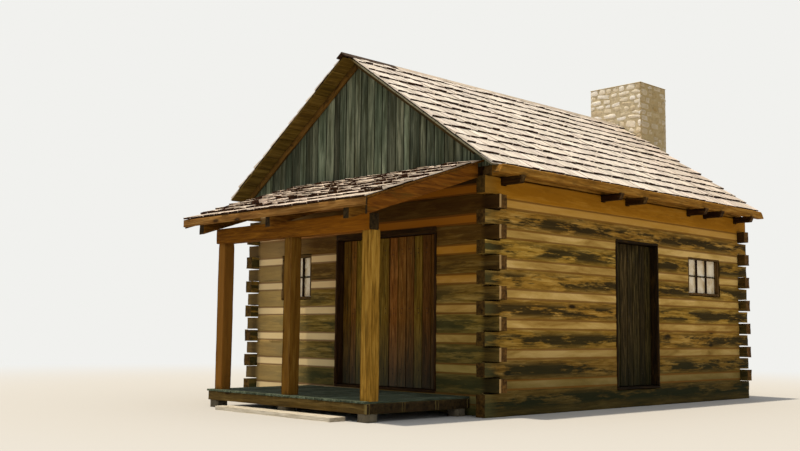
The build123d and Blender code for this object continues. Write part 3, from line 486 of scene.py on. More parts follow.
# Field stones: cream, buff and grey-brown, each its own tone
stoneLook = {"speck": 0.4, "rough": (0.9, 1.0), "relief": 0.6, "depth": 6}
fieldStone = groundFinish("creamFieldStone", {
    **stoneLook, "mottle": 70, "grit": 9, "islandShare": 0.62, "speck": 0.35, "speckColour": "#8f7c5c",
    "stops": [(0.12, "#ab9670"), (0.35, "#e3d3b2"), (0.6, "#f3e9d5"), (0.85, "#f8f2e6")],
    # the darker wash on the right face is painted shade over yellow-brown stain
    "rough": (0.75, 0.95), "washes": [("X", 0.485, 0.512, "#927637", 0.72)],
})
# Lime mortar between the stones: darker tan with coarse sand
stoneMortar = groundFinish("limeMortar", {
    **stoneLook, "mottle": 90, "grit": 8, "islandShare": 0.0, "speckColour": "#54452c",
    # the darker wash on the right face is painted shade over yellow-brown stain
    "stops": [(0.3, "#b8a681"), (0.7, "#dfcfab")], "washes": [("X", 0.46, 0.50, "#927637", 0.6)],
})
footingStone = groundFinish("flatFootingStone", {
    **stoneLook, "mottle": 60, "grit": 8, "islandShare": 0.3, "speckColour": "#3a3426",
    "stops": [(0.3, "#443c2c"), (0.7, "#6e6450")], "rough": (0.8, 0.95),
})
# Hand-forged iron gone dark brown: dull, pitted
forgedIron = groundFinish("forgedDarkIron", {
    "mottle": 18, "grit": 4, "islandShare": 0.1, "speck": 0.5, "speckColour": "#3a2014",
    "stops": [(0.3, "#1a1614"), (0.7, "#3a322d")], "rough": (0.5, 0.8), "relief": 0.4, "depth": 1.5,
    "metal": 0.75, "gloss": 0.5,
})
# Old window panes: the cream colour is a painted reflection of the bright sky, with a soft gloss
skyGlareGlass = groundFinish("windowGlassPaintedReflection", {
    "mottle": 240, "grit": 30, "islandShare": 0.05, "speck": 0.12, "speckColour": "#a68a5c",
    "stops": [(0.32, "#b79a6a"), (0.5, "#d9c49c"), (0.66, "#efe2c6")], "rough": (0.12, 0.3), "relief": 0.08, "depth": 2,
    "gloss": 0.5,
})
print("finishes are mixed")


# Modelling helpers

def selectOnly(*pieces):
    bpy.ops.object.select_all(action="DESELECT")
    for piece in pieces:
        piece.select_set(True)
    bpy.context.view_layer.objects.active = pieces[0]


def openMesh(piece):  # edit mode with everything selected
    selectOnly(piece)
    bpy.ops.object.mode_set(mode="EDIT")
    bpy.ops.mesh.select_all(action="SELECT")


def closeMesh():
    bpy.ops.object.mode_set(mode="OBJECT")


def shapeFaces(piece, test, transform, **settings):  # transforms just the faces that pass a test
    selectOnly(piece)
    bpy.context.tool_settings.mesh_select_mode = (False, False, True)
    for group in (piece.data.vertices, piece.data.edges):
        group.foreach_set("select", [False] * len(group))
    for face in piece.data.polygons:
        face.select = test(face)
    bpy.ops.object.mode_set(mode="EDIT")
    transform(**settings)
    closeMesh()


def mergedCopy(node, name):  # a CAD node's shape with its loose triangles joined into whole faces
    piece = bpy.data.objects.new(name, nodes[node].data.copy())
    bpy.context.collection.objects.link(piece)
    openMesh(piece)
    bpy.ops.mesh.remove_doubles(threshold=0.0001)
    bpy.ops.mesh.dissolve_limited(angle_limit=math.radians(1))
    closeMesh()
    return piece


def startBlock(size, name):  # a block with one corner at the origin
    bpy.ops.mesh.primitive_cube_add(size=1, location=[side / 2 for side in size])
    block = bpy.context.object
    block.scale = size
    bpy.ops.object.transform_apply(location=True, rotation=True, scale=True)
    block.name = name
    return block


def gridCut(piece, steps):  # cuts along x, y and z about every step metres, 0 for none
    low, high = piece.bound_box[0], piece.bound_box[6]
    spans = [(low[axis], high[axis] - low[axis]) for axis in range(3)]
    openMesh(piece)
    for axis, (start, span) in enumerate(spans):
        count = round(span / steps[axis]) if steps[axis] else 0
        for number in range(1, count):
            spot, normal = [0, 0, 0], [0, 0, 0]
            spot[axis], normal[axis] = start + span * number / count, 1
            bpy.ops.mesh.select_all(action="SELECT")
            bpy.ops.mesh.bisect(plane_co=spot, plane_no=normal)
    closeMesh()


def wearEdges(piece, width, segments=1):
    selectOnly(piece)
    bevel = piece.modifiers.new("wear", "BEVEL")
    bevel.width = width
    bevel.segments = segments
    bevel.limit_method = "ANGLE"
    bevel.angle_limit = math.radians(40)
    bpy.ops.object.modifier_apply(modifier=bevel.name)


def roughen(piece, kind, size, depth, middle=1.0, octaves=2):
    # texture size in metres per axis; middle 1 only goes inwards
    texture = bpy.data.textures.new(kind.lower() + "Wear", kind)
    texture.noise_scale = 1.0
    if kind == "CLOUDS":
        texture.noise_depth = octaves
    gauge = bpy.data.objects.new("gauge", None)
    bpy.context.collection.objects.link(gauge)
    gauge.scale = size
    bpy.context.view_layer.update()
    uneven = piece.modifiers.new("uneven", "DISPLACE")
    uneven.texture = texture
    uneven.texture_coords = "OBJECT"
    uneven.texture_coords_object = gauge
    uneven.strength = depth
    uneven.mid_level = middle
    selectOnly(piece)
    bpy.ops.object.modifier_apply(modifier=uneven.name)
    bpy.data.objects.remove(gauge)


def roughenApart(piece, seed, steps, size, depth, middle=1.0):  # each seed at another spot of the texture
    shift = [seed * step for step in steps]
    piece.data.transform(Matrix.Translation(shift))
    roughen(piece, "CLOUDS", size, depth, middle)
    piece.data.transform(Matrix.Translation([-part for part in shift]))


def finishPiece(piece, node, material, body="cabin", slotName=None, angle=38):
    # node is the one that the piece replaces and hides; its slot is looked up but not given to the piece
    replaced = [node] if node else []
    slotName = slotName or slotOf[node]
    piece.data.materials.clear()
    piece.data.materials.append(material)
    selectOnly(piece)
    bpy.ops.object.shade_smooth_by_angle(angle=math.radians(angle))
    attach(piece, body)
    if replaced:
        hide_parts(*replaced)


def joinPieces(name, pieces):
    selectOnly(*pieces)
    bpy.ops.object.join()
    piece = bpy.context.object
    piece.name = name
    return piece


def joinCopies(name, sources, places):  # places are (source number, matrix); each copy has its own mesh
    copies = []
    for which, matrix in places:
        copy = sources[which].copy()
        copy.data = sources[which].data.copy()
        copy.data.transform(matrix)
        bpy.context.collection.objects.link(copy)
        copies.append(copy)
    piece = joinPieces(name, copies)
    openMesh(piece)
    bpy.ops.mesh.normals_make_consistent(inside=False)  # mirrored copies get their faces turned outwards again
    closeMesh()
    return piece


def layPiece(name, sources, places, node, material, **settings):
    finishPiece(joinCopies(name, sources, places), node, material, **settings)


def discard(sources):
    for source in sources:
        bpy.data.objects.remove(source)


# Hewn timber: a merged copy of each node, cut into a grid, edges worn, faces made uneven

def seat(piece, facing, near, level):
    # the level faces near a height are flattened to it, so that the piece bears on what is above or below
    shapeFaces(piece, lambda face: face.normal.z * facing > 0.7 and abs(face.center.z - near) < 0.03,
               bpy.ops.transform.resize, value=(1, 1, 0), center_override=(0, 0, level))


def hewNode(node, material, cuts, wave, adze, name=None, bevel=0.006, waveDepth=0.012, adzeDepth=0.006,
            middle=1.0, foot=None, head=None):
    piece = mergedCopy(node, name or "hewn_" + node)
    low, high = piece.bound_box[0][2], piece.bound_box[6][2]
    wearEdges(piece, bevel)
    gridCut(piece, cuts)
    roughen(piece, "CLOUDS", wave, waveDepth, middle)
    roughen(piece, "VORONOI", adze, adzeDepth, middle)
    if foot is not None:  # how far the foot and the head are let into the piece that they meet
        seat(piece, -1, low, low - foot)
    if head is not None:
        seat(piece, 1, high, high + head)
    finishPiece(piece, node, material)
    return piece


sideHewing = {"cuts": (0.036, 0.085, 0.036), "wave": (0.13, 0.75, 0.13), "adze": (0.10, 0.17, 0.10)}
frontHewing = {"cuts": (0.085, 0.036, 0.036), "wave": (0.75, 0.13, 0.13), "adze": (0.17, 0.10, 0.10)}
for node, foot in (("right_wall_long_logs", 0.0), ("right_wall_front_logs", None),
                   ("right_wall_back_logs", None), ("left_wall_logs", 0.0)):
    hewNode(node, sideLogWood, **sideHewing, foot=foot)
for wall in ("front_wall_", "back_wall_"):
    for logs in ("long_logs", "left_logs", "right_logs"):
        hewNode(wall + logs, frontLogWood, **frontHewing)
print("log walls are hewn")

# Chinking: pushed a little into the logs above and below, so no gap opens at their uneven edges
chinking = {"tuck": 0.014, "bulge": 0.008, "cut": 0.09, "levelCut": 0.03, "across": 0.1, "along": 0.9, "tall": 0.07}
for wall, axis, material in (("right", 1, sideDaub), ("left", 1, sideDaub),
                             ("front", 0, frontDaub), ("back", 0, frontDaub)):
    node = wall + "_wall_chinking"
    piece = mergedCopy(node, "daubed_" + node)
    cuts, size = [0.0, 0.0, chinking["levelCut"]], [chinking["across"], chinking["across"], chinking["tall"]]
    cuts[axis], size[axis] = chinking["cut"], chinking["along"]
    gridCut(piece, cuts)
    roughen(piece, "CLOUDS", size, chinking["bulge"], 0.6, 0)
    for lift in (1, -1):
        shapeFaces(piece, lambda face: face.normal.z * lift > 0.8,
                   bpy.ops.transform.translate, value=(0, 0, lift * chinking["tuck"]))
    finishPiece(piece, node, material)
print("walls are chinked")

# Roof and porch timbers
hewNode("wall_plates", roofTimberWood, (0.05, 0.12, 0.05), (0.1, 0.6, 0.1), (0.08, 0.14, 0.08), waveDepth=0.008)
hewNode("tie_beams", tieWood, (0.10, 0.03, 0.03), (0.5, 0.1, 0.1), (0.12, 0.07, 0.07),
        bevel=0.008, waveDepth=0.007, adzeDepth=0.004, head=0.0)
hewNode("eave_planks", roofTimberWood, (0.032, 0.07, 0.032), (0.09, 0.45, 0.09), (0.07, 0.12, 0.07),
        middle=0.4, foot=0.004)
rafterHewing = {"wave": (0.4, 0.1, 0.4), "adze": (0.1, 0.08, 0.1), "waveDepth": 0.006, "adzeDepth": 0.004}
hewNode("rafters", rafterWood, (0.15, 0.045, 0.15), **rafterHewing)
hewNode("verge_rafters", rafterWood, (0.08, 0.022, 0.08), **rafterHewing)
hewNode("porch_posts", postWood, (0.03, 0.03, 0.06), (0.09, 0.09, 0.5), (0.07, 0.07, 0.11),
        waveDepth=0.010, adzeDepth=0.004, foot=0.006, head=0.014)
hewNode("porch_beam", beamWood, (0.06, 0.03, 0.03), (0.5, 0.09, 0.09), (0.11, 0.07, 0.07),
        waveDepth=0.007, adzeDepth=0.004)
hewNode("porch_rafters", porchRafterWood, (0.03, 0.07, 0.05), (0.09, 0.4, 0.2), (0.07, 0.11, 0.07),
        waveDepth=0.008, adzeDepth=0.004, middle=0.7)
hewNode("porch_deck_frame", deckFrameWood, (0.08, 0.03, 0.03), (0.4, 0.1, 0.1), (0.1, 0.08, 0.08),
        "sawn_deck_frame", bevel=0.003, waveDepth=0.005, adzeDepth=0.002)
hewNode("porch_footings", footingStone, (0.03, 0.03, 0.03), (0.09, 0.09, 0.09), (0.06, 0.06, 0.06),
        "rough_footing_stones", bevel=0.01, waveDepth=0.016, foot=0.0, head=0.004)
hewNode("porch_step", stepWood, (0.06, 0.03, 0.02), (0.5, 0.1, 0.1), (0.12, 0.08, 0.08),
        "worn_step_plank", bevel=0.004, waveDepth=0.006, adzeDepth=0.003, foot=0.0)

# Frames of doors and windows: the parts under and over these heights get a grain that runs level
# (the window in the front wall has levels of its own)
for node, material, levelMaterial, cuts, wave, adze, levels in (
        ("front_door_frame", frameWood, frontHeadWood, (0.07, 0.04, 0.07), (0.2, 0.2, 0.4), 0.1, [(0.2575, 2.1225)]),
        ("side_door_frame", sideFrameWood, sideHeadWood, (0.04, 0.07, 0.07), (0.2, 0.2, 0.4), 0.1, [(0.2575, 2.1375)]),
        ("window_frames", windowWood, windowHeadWood, (0.04, 0.04, 0.06), (0.2, 0.2, 0.2), 0.08,
         [(1.405, 1.935), (1.54, 2.015)])):
    piece = hewNode(node, material, cuts, wave, (adze,) * 3, bevel=0.003, waveDepth=0.004, adzeDepth=0.002)
    piece.data.materials.append(levelMaterial)
    for face in piece.data.polygons:
        low, high = levels[0 if face.center.y < 0 else -1]
        if face.center.z > high or face.center.z < low:
            face.material_index = 1

# Eave board and rake boards: one copy of the node, split so that each has its own grain
trim = {"eave": 0.0252, "bevel": 0.004, "wave": (0.4, 0.4, 0.08), "waveDepth": 0.007}
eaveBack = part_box("porch_trim")[0][1] + trim["eave"]
for name, keepFront, cuts, material in (("porch_eave_board", True, (0.07, 0.0, 0.03), eaveWood),
                                        ("porch_rake_boards", False, (0.0, 0.07, 0.04), rakeWood)):
    piece = mergedCopy("porch_trim", name)
    openMesh(piece)
    bpy.ops.mesh.bisect(plane_co=(0, eaveBack, 0), plane_no=(0, 1, 0), clear_outer=keepFront, clear_inner=not keepFront)
    closeMesh()
    wearEdges(piece, trim["bevel"])
    gridCut(piece, cuts)
    roughen(piece, "CLOUDS", trim["wave"], trim["waveDepth"])
    finishPiece(piece, "porch_trim", material)
print("timbers are hewn")

# Boards: modelled once at a typical size, then copied to their own widths

board = {"size": (0.15, 2.0, 0.022), "bevel": 0.003, "cuts": 7, "sunk": 0.003, "kinds": 3}
chance = random.Random(41)


def modelBoard(seed):
    piece = startBlock(board["size"], "board_source")
    wearEdges(piece, board["bevel"])
    gridCut(piece, (0.0, board["size"][1] / board["cuts"], 0.0))
    roughenApart(piece, seed, (3.1, 1.7, 0), (0.3, 0.5, 0.3), 0.003)
    return piece


def frameOf(corner, across, along, out):  # matrix from board axes to a place on the building
    matrix = Matrix((across, along, out)).transposed().to_4x4()
    matrix.translation = corner
    return matrix


def stretch(wanted, modelled):
    return Matrix.Diagonal([a / b for a, b in zip(wanted, modelled)] + [1])


def fillSpan(start, end, widths, rest, narrow):
    # gives the start and the width of each piece in a row; the last one takes up what would be too narrow
    while start < end - rest:
        width = min(chance.uniform(*widths), end - start)
        if end - start - width < narrow:
            width = end - start
        yield start, width
        start += width


def boardRow(base, span, lengthAt, thickness, widths, gap):
    # places for boards side by side across a span; lengthAt gives the length of a board that ends at an offset
    places = []
    for offset, width in fillSpan(0.0, span, widths, 0.02, widths[0] * 0.5):
        size = stretch((width - gap, lengthAt(offset + width), thickness), board["size"])
        step = Matrix.Translation((offset + gap / 2, 0.0, chance.uniform(-board["sunk"], 0.0)))
        places.append((chance.randrange(board["kinds"]), base @ step @ size))
    return places


# Roof geometry, from the pitch and the eave of the solids, and how the shakes lie on it
roof = {
    "pitch": math.radians(34.3), "eave": 2.450, "eaveUnder": 2.8004, "length": 2.9633,
    "front": {1: -2.6472, -1: -2.7172}, "back": 3.5578, "notchAlong": 2.329, "notchBack": 3.4038,
    "board": 0.022, "widths": (0.17, 0.24), "gap": 0.003,
    "courses": 13, "drip": 0.015, "edge": (-0.004, 0.010), "butt": 0.021, "lift": 0.0125,
    "setBack": (-0.008, 0.040), "ragged": 0.45, "roll": 0.03,
}
porchRoof = {
    "pitch": math.radians(18.6), "low": -4.2422, "boardUnder": 2.2849, "length": 1.8915, "left": -1.225, "run": 3.415,
    "board": 0.025, "widths": (0.16, 0.22), "gap": 0.003,
    "courses": 8, "drip": 0.040, "edge": (0.0, 0.02), "butt": 0.022, "lift": 0.004,
    "setBack": (0.005, 0.050), "ragged": 0.3, "roll": 0.11,
}


def roofFrame(side, up):  # from the front of the eave x runs up the slope, y back and z out
    c, s = math.cos(roof["pitch"]), math.sin(roof["pitch"])
    corner = (side * (roof["eave"] + up * s), roof["front"][side], roof["eaveUnder"] + up * c)
    return frameOf(corner, (-side * c, 0, s), (0, 1, 0), (side * s, 0, c))


def roofRun(side, along):  # length of the roof, less where the chimney's notch is
    return (roof["notchBack"] if along > roof["notchAlong"] else roof["back"]) - roof["front"][side]


def porchFrame(up):
    c, s = math.cos(porchRoof["pitch"]), math.sin(porchRoof["pitch"])
    corner = (porchRoof["left"], porchRoof["low"] - up * s, porchRoof["boardUnder"] + up * c)
    return frameOf(corner, (0, c, s), (1, 0, 0), (0, -s, c))


boardSources = [modelBoard(seed) for seed in range(board["kinds"])]
rows = []
for side in (1, -1):
    rows += boardRow(roofFrame(side, 0.0), roof["length"], partial(roofRun, side), roof["board"] - 0.001,
                     roof["widths"], roof["gap"])
layPiece("laid_roof_boards", boardSources, rows, "roof_boards", soffitWood)
rows = boardRow(porchFrame(0.0), porchRoof["length"], lambda at: porchRoof["run"], porchRoof["board"] - 0.001,
                porchRoof["widths"], porchRoof["gap"])
layPiece("laid_porch_roof_boards", boardSources, rows, "porch_roof_boards", porchSoffitWood)

# Deck boards run from the wall to the front, floor boards run the length of the room
for name, node, widths, gap, material in (("laid_deck_boards", "porch_deck", (0.13, 0.19), 0.010, deckWood),
                                          ("laid_floor_boards", "floor_boards", (0.16, 0.24), 0.004, floorWood)):
    low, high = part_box(node)
    span, length, thickness = (high[axis] - low[axis] for axis in range(3))
    rows = boardRow(Matrix.Translation(low), span, lambda at: length, thickness, widths, gap)
    layPiece(name, boardSources, rows, node, material)

# Gable boards stand upright over a dark lining, whose near-black colour is painted shade in the gaps, and are cut to
# the slopes
gable = {"foot": 2.835, "top": 4.4717, "slope": 0.68215, "reach": 2.40, "thickness": 0.022, "lining": 0.007}
for end, side, face in (("front", -1, -2.4272), ("back", 1, 3.3878)):
    base = frameOf((side * gable["reach"], face, gable["foot"]), (-side, 0, 0), (0, 0, 1), (0, side, 0))
    for name, lift, thickness, widths, gap, material in (
            ("gable_boards_", gable["lining"], gable["thickness"] - gable["lining"], (0.10, 0.18), 0.014, gableWood),
            ("gable_lining_", 0.0, gable["lining"] - 0.001, (0.15, 0.22), 0.0, liningWood)):
        rows = boardRow(base @ Matrix.Translation((0, 0, lift)), 2 * gable["reach"],
                        lambda at: gable["top"] - gable["foot"], thickness, widths, gap)
        piece = joinCopies(name + end, boardSources, rows)
        openMesh(piece)
        for slope in (1, -1):
            bpy.ops.mesh.select_all(action="SELECT")
            bpy.ops.mesh.bisect(plane_co=(0, 0, gable["top"] - 0.002), plane_no=(slope * gable["slope"], 0, 1),
                                use_fill=True, clear_outer=True)
        closeMesh()
        finishPiece(piece, "gable_boards", material)
print("boards are laid")

# Shakes: a split wedge modelled in four forms, laid in lapped courses over a thin first layer

shake = {
    "size": (0.31, 0.14, 0.023), "tip": 0.003, "kinds": 4, "widths": (0.09, 0.19), "rest": 0.03, "narrow": 0.07,
    "gap": 0.005, "lengths": (0.95, 1.05), "thickness": (0.7, 1.15), "rise": 1.55, "turn": 0.012,
    "pastRidge": 0.012, "shortAtBack": 0.012,
}
starter = {"length": 0.217, "thickness": 0.008, "out": (-0.015, -0.011)}


def modelShake(seed):
    length, width, butt = shake["size"]
    wedge = startBlock(shake["size"], "shake_source")
    gridCut(wedge, (0.0, width / 4, 0.0))
    shapeFaces(wedge, lambda face: face.normal.x > 0.9,  # the upper end thins out
               bpy.ops.transform.resize, value=(1, 1, shake["tip"] / butt), center_override=(0, 0, 0))
    gridCut(wedge, (length / 3, 0.0, 0.0))
    roughenApart(wedge, seed, (2.3, 3.9, 0.7), (0.16, 0.035, 0.05), 0.009, 0.62)
    return wedge


def shakeCourses(base, lay, backAt):
    # places for every shake of a slope; base has x up the slope, y along the eave, z out
    places = []
    length = lay["length"]
    exposure = (length + lay["drip"]) / lay["courses"]
    for number in range(lay["courses"]):
        start = number * exposure - lay["drip"]
        front, back = chance.uniform(*lay["edge"]), backAt(start) - chance.uniform(0.0, shake["shortAtBack"])
        for at, width in fillSpan(front, back, shake["widths"], shake["rest"], shake["narrow"]):
            run = min(shake["size"][0] * chance.uniform(*shake["lengths"]), length + shake["pastRidge"] - start)
            wave = 0.5 + 0.3 * math.sin(at * 2.1 + number * 1.7) + 0.2 * math.sin(at * 5.3 + number)
            wave = (1 - lay["ragged"]) * wave + lay["ragged"] * chance.random()
            slip = lay["setBack"][0] + (lay["setBack"][1] - lay["setBack"][0]) * wave
            if number == lay["courses"] - 1:
                run = length - start - slip
            turn = Matrix.Rotation(chance.uniform(-shake["turn"], shake["turn"]), 4, "Z")
            if number > 0:
                turn = turn @ Matrix.Rotation(chance.uniform(-lay["roll"], lay["roll"]), 4, "X")
            thick = lay["butt"] * (shake["rise"] if number else 1.0) * chance.uniform(*shake["thickness"])
            size = stretch((run, width - shake["gap"], thick), shake["size"])
            move = Matrix.Translation((start + slip, at + shake["gap"] / 2, lay["lift"]))
            places.append((chance.randrange(shake["kinds"]), base @ move @ turn @ size))
    return places


shakeSources = [modelShake(seed) for seed in range(shake["kinds"])]
rows = []
for side in (1, -1):  # the sunlit edge of this layer shows under the lowest course
    for at, width in fillSpan(0.0, roofRun(side, 0.0), shake["widths"], shake["rest"], 0.0):
        size = stretch((starter["length"], width - shake["gap"], starter["thickness"]), shake["size"])
        which = chance.randrange(shake["kinds"])
        move = Matrix.Translation((chance.uniform(*starter["out"]), at, 0.0))
        rows.append((which, roofFrame(side, roof["board"]) @ move @ size))
layPiece("roof_starter_shakes", shakeSources, rows, "roof_shakes", starterWood, angle=30)
rows = []
for side in (1, -1):
    rows += shakeCourses(roofFrame(side, roof["board"]), roof, lambda start: roofRun(side, start + 0.05))
layPiece("laid_roof_shakes", shakeSources, rows, "roof_shakes", shakeWood, angle=30)
rows = shakeCourses(porchFrame(porchRoof["board"]), porchRoof, lambda start: porchRoof["run"])
layPiece("laid_porch_shakes", shakeSources, rows, "porch_shakes", porchShakeWood, angle=30)
discard(shakeSources)

# Ridge cap: short boards on both sides of the ridge, the front pair darker
ridge = {
    "top": 4.5350, "reach": 0.120, "thickness": 0.018, "front": -2.7622, "split": -1.8122, "back": 3.4038,
    "lengths": (0.75, 1.15), "rest": 0.1, "narrow": 0.35, "sunk": 0.003, "gap": 0.004,
}
c, s = math.cos(roof["pitch"]), math.sin(roof["pitch"])
for name, front, back, material in (("ridge_boards_front", ridge["front"], ridge["split"], ridgeEndWood),
                                    ("ridge_boards", ridge["split"], ridge["back"], ridgeWood)):
    rows = []
    for side in (1, -1):
        for at, length in fillSpan(front, back, ridge["lengths"], ridge["rest"], ridge["narrow"]):
            level = ridge["top"] + chance.uniform(-ridge["sunk"], 0.0) - ridge["reach"] * s - ridge["thickness"] * c
            base = frameOf((side * (ridge["reach"] * c - ridge["thickness"] * s), at, level),
                           (-side * c, 0, s), (0, 1, 0), (side * s, 0, c))
            size = stretch((ridge["reach"], length - ridge["gap"], ridge["thickness"]), board["size"])
            rows.append((chance.randrange(board["kinds"]), base @ size))
    layPiece(name, boardSources, rows, "ridge_cap", material)
discard(boardSources)
print("shakes are laid")

# Chimney: a mortar core drawn in behind the faces of the solids, and field stones in rough courses

masonry = {
    "draw": 0.016, "depth": 0.075, "sunk": (0.001, 0.010), "kinds": 5, "joint": 0.011,
    "heights": (0.07, 0.15), "widths": (0.09, 0.30), "lift": 0.014, "turn": 0.16, "tall": 0.125, "pairs": 0.35,
}
# core: half its width, its front and its back; a face: middle of its foot, way across, way up, half its width,
# and how much the left and the right end draw in up to its top
chimney = {
    "stack": {"core": (0.52, 3.41, 4.21), "faces": [
        ((0, 3.4101, 4.02), (1, 0, 0), (0, 0, 1.157), 0.518),
        ((0, 4.2101, 2.3), (-1, 0, 0), (0, 0, 2.877), 0.518),
        ((0.52, 3.8101, 2.3), (0, 1, 0), (0, 0, 2.877), 0.398),
        ((-0.52, 3.8101, 2.3), (0, -1, 0), (0, 0, 2.877), 0.398),
    ]},
    "shoulder": {"core": (0.60, None, 4.25), "faces": [
        ((0.70, 3.838, 1.7), (0, 1, 0), (-0.18, 0, 0.6), 0.448, 0.02, 0.076),
        ((-0.70, 3.838, 1.7), (0, -1, 0), (0.18, 0, 0.6), 0.448, 0.076, 0.02),
        ((0, 4.288, 1.7), (-1, 0, 0), (0, -0.078, 0.6), 0.698, 0.18, 0.18),
    ]},
    "base": {"core": (0.70, None, 4.288), "faces": [
        ((0.70, 3.838, 0), (0, 1, 0), (0, 0, 1.7), 0.448),
        ((-0.70, 3.838, 0), (0, -1, 0), (0, 0, 1.7), 0.448),
        ((0, 4.288, 0), (-1, 0, 0), (0, 0, 1.7), 0.698),
    ]},
}


def modelStone(seed):
    bpy.ops.mesh.primitive_cube_add(size=1)
    stone = bpy.context.object
    stone.name = "stone_source"
    openMesh(stone)
    bpy.ops.mesh.subdivide(number_cuts=2, smoothness=0.35)
    bpy.ops.mesh.vertices_smooth(factor=0.5, repeat=1)
    closeMesh()
    roughenApart(stone, seed, (5.3, 2.1, 3.7), (0.5, 0.5, 0.5), 0.5, 0.5)
    spans = [[vertex.co[axis] for vertex in stone.data.vertices] for axis in range(3)]
    middle = Matrix.Translation([-(min(span) + max(span)) / 2 for span in spans])
    stone.data.transform(stretch((1, 1, 1), [max(span) - min(span) for span in spans]) @ middle)
    return stone


def stoneFace(origin, across, rise, half, leftIn=0.0, rightIn=0.0):
    across, up, height = Vector(across), Vector(rise).normalized(), math.hypot(*rise)
    out = across.cross(up)
    places = []
    for level, tall in fillSpan(0.004, height, masonry["heights"], 0.03, 0.05):
        tall = min(tall, height - level - 0.002)
        share = (level + tall / 2) / height
        left, right = leftIn * share - half, half - rightIn * share
        for at, wide in fillSpan(left, right, masonry["widths"], 0.03, 0.06):
            split = tall > masonry["tall"] and chance.random() < masonry["pairs"]
            inner = 0.1 < (at - left) / (right - left) < 0.8 and level > 0.02 and height - level - tall > 0.02
            for foot, part in [(0.0, tall * 0.48), (tall * 0.5, tall * 0.5)] if split else [(0.0, tall)]:
                middle = Vector(origin) + across * (at + wide / 2) + up * (level + foot + part / 2)
                middle -= out * (masonry["depth"] / 2 + chance.uniform(*masonry["sunk"]))
                middle += up * (chance.uniform(-masonry["lift"], masonry["lift"]) if inner else 0.0)
                flip = Matrix.Rotation(chance.choice((0, math.pi)), 4, "Z")
                turn = Matrix.Rotation(chance.uniform(-masonry["turn"], masonry["turn"]) if inner else 0.0, 4, "Z")
                size = (wide - masonry["joint"] * chance.uniform(0.5, 1.2),
                        part - masonry["joint"] * chance.uniform(0.4, 1.1), masonry["depth"])
                base = frameOf(middle, across, up, out) @ turn @ stretch(size, (1, 1, 1)) @ flip
                places.append((chance.randrange(masonry["kinds"]), base))
    return places


def drawIn(part, half, front, back):
    piece = mergedCopy("chimney_" + part, part + "_core")
    rules = [((1, 0, 0), lambda c: c.x > half * 0.8), ((-1, 0, 0), lambda c: c.x < -half * 0.8),
             ((0, 1, 0), lambda c: c.y > back - 0.1)]
    if front is not None:
        rules.append(((0, -1, 0), lambda c: c.y < front + 0.02))
    for normal, near in rules:
        direction = Vector(normal)
        shapeFaces(piece, lambda face: face.normal.dot(direction) > 0.85 and near(face.center),
                   bpy.ops.transform.translate, value=-direction * masonry["draw"])
    finishPiece(piece, "chimney_" + part, stoneMortar)


chance.seed(77)
stoneSources = [modelStone(seed) for seed in range(masonry["kinds"])]
for part in chimney:
    drawIn(part, *chimney[part]["core"])
stones = 0
for part in chimney:
    rows = [place for face in chimney[part]["faces"] for place in stoneFace(*face)]
    layPiece(part + "_stones", stoneSources, rows, "chimney_" + part, fieldStone, angle=50)
    stones += len(rows)
discard(stoneSources)
print("chimney stones are laid:", stones)

# Plank doors: upright boards of their own widths, three battens inside, and nail heads outside

leaf = {
    "boards": 0.025, "lining": 0.010, "linings": (0.16, 0.22), "gap": 0.010, "batten": (0.11, 0.025), "inset": 0.04,
    "battens": (0.185, 0.934, 1.668), "nails": 6, "nailSpread": 0.02, "nailLift": 0.028,
}
nail = {"radius": 0.007, "height": 0.004}


def modelNail():
    bpy.ops.mesh.primitive_uv_sphere_add(segments=8, ring_count=4, radius=nail["radius"])
    head = bpy.context.object
    head.data.transform(Matrix.Diagonal((1, 1, nail["height"] / nail["radius"], 1)))
    head.name = "nail_source"
    return head


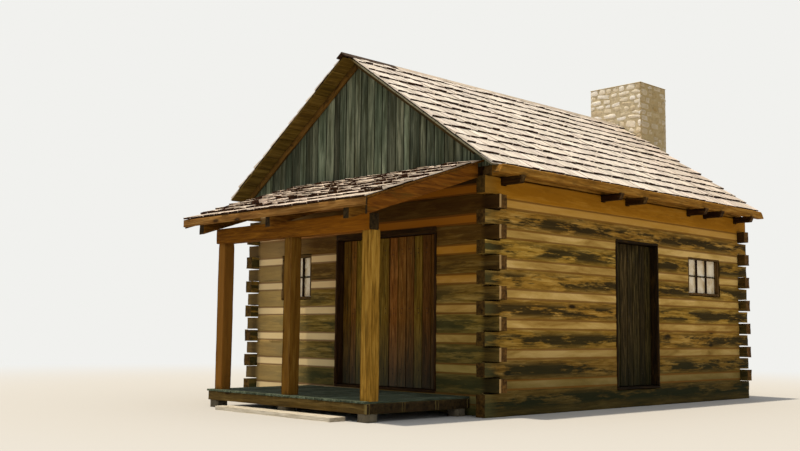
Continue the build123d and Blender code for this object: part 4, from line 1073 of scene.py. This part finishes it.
def dressLeaf(node, body, widths, material):
    # each leaf is drawn on axes of its own: across, up and out from its outer face
    low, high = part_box(node)
    if body == "side_leaf":
        base, span = frameOf((high[0], low[1], low[2]), (0, 1, 0), (0, 0, 1), (1, 0, 0)), high[1] - low[1]
    else:
        base, span = frameOf(low, (1, 0, 0), (0, 0, 1), (0, -1, 0)), high[0] - low[0]
    inner = -leaf["boards"] - leaf["lining"]
    outers = boardRow(base @ Matrix.Translation((0, 0, -leaf["boards"])), span, lambda at: high[2] - low[2],
                      leaf["boards"], widths, leaf["gap"])
    inners = boardRow(base @ Matrix.Translation((0, 0, inner)), span, lambda at: high[2] - low[2],
                      leaf["lining"] - 0.0005, leaf["linings"], 0.0)
    nails = []
    tall, depth = leaf["batten"]
    for middle in leaf["battens"]:
        size = stretch((tall, span - 2 * leaf["inset"], depth), board["size"])
        batten = frameOf((leaf["inset"], middle - tall / 2, inner - depth), (0, 1, 0), (1, 0, 0), (0, 0, 1))
        inners.append((chance.randrange(board["kinds"]), base @ batten @ size))
        for number in range(leaf["nails"]):
            for lift in (-leaf["nailLift"], leaf["nailLift"]):
                at = span * (number + 0.5) / leaf["nails"] + chance.uniform(-leaf["nailSpread"], leaf["nailSpread"])
                nails.append((0, base @ Matrix.Translation((at, middle + lift, -0.001))))
    layPiece("boarded_" + node, boardSources, outers, node, material, body=body)
    layPiece("battened_" + node, boardSources, inners, node, battenWood, body=body)
    layPiece("nails_" + node, [nailSource], nails, None, forgedIron, body=body, slotName="wrought_iron")


nailSource = modelNail()
boardSources = [modelBoard(seed) for seed in range(board["kinds"])]
chance.seed(19)
dressLeaf("front_door_left", "front_left_leaf", (0.10, 0.17), frontDoorWood)
dressLeaf("front_door_right", "front_right_leaf", (0.10, 0.17), frontDoorWood)
dressLeaf("side_door", "side_leaf", (0.12, 0.20), sideDoorWood)
discard([nailSource] + boardSources)

# Window bars: two upright and one thinner level bar make six panes
bars = {"width": 0.024, "depth": 0.026, "level": 0.8, "bevel": 0.005}
for name, axis, outer, side, along, level in (
        ("right_window_bars", 1, 2.2105, 1, (1.8528, 2.6428), (1.54, 2.015)),
        ("left_window_bars", 1, -2.2105, -1, (1.8528, 2.6428), (1.54, 2.015)),
        ("front_window_bars", 0, -2.3527, -1, (-1.555, -0.992), (1.405, 1.935))):
    length = along[1] - along[0]
    rows = [(along[0] + length * number / 3, bars["width"], level[1] - level[0], 1.0) for number in (1, 2)]
    rows.append((sum(along) / 2, length, bars["width"] * bars["level"], bars["level"]))
    pieces = []
    for middle, wide, tall, share in rows:
        bpy.ops.mesh.primitive_cube_add(size=1)
        place, size = [0, 0, sum(level) / 2], [0, 0, tall]
        place[axis], place[1 - axis] = middle, outer + side * bars["depth"] / 2
        size[axis], size[1 - axis] = wide, bars["depth"] * share
        bpy.context.object.data.transform(Matrix.Translation(place) @ stretch(size, (1, 1, 1)))
        pieces.append(bpy.context.object)
        wearEdges(pieces[-1], bars["bevel"], 2)
    finishPiece(joinPieces(name, pieces), None, barWood, slotName="frame_timber")

# Glass, iron and sleepers stay as they are in the solids, with their own finishes
for node, material in (("window_glass", skyGlareGlass), ("door_pintles", forgedIron), ("floor_sleepers", floorWood),
                       ("front_door_left_straps", forgedIron), ("front_door_right_straps", forgedIron),
                       ("side_door_straps", forgedIron)):
    nodes[node].data.materials.clear()
    nodes[node].data.materials.append(material)
print("doors and windows are dressed")
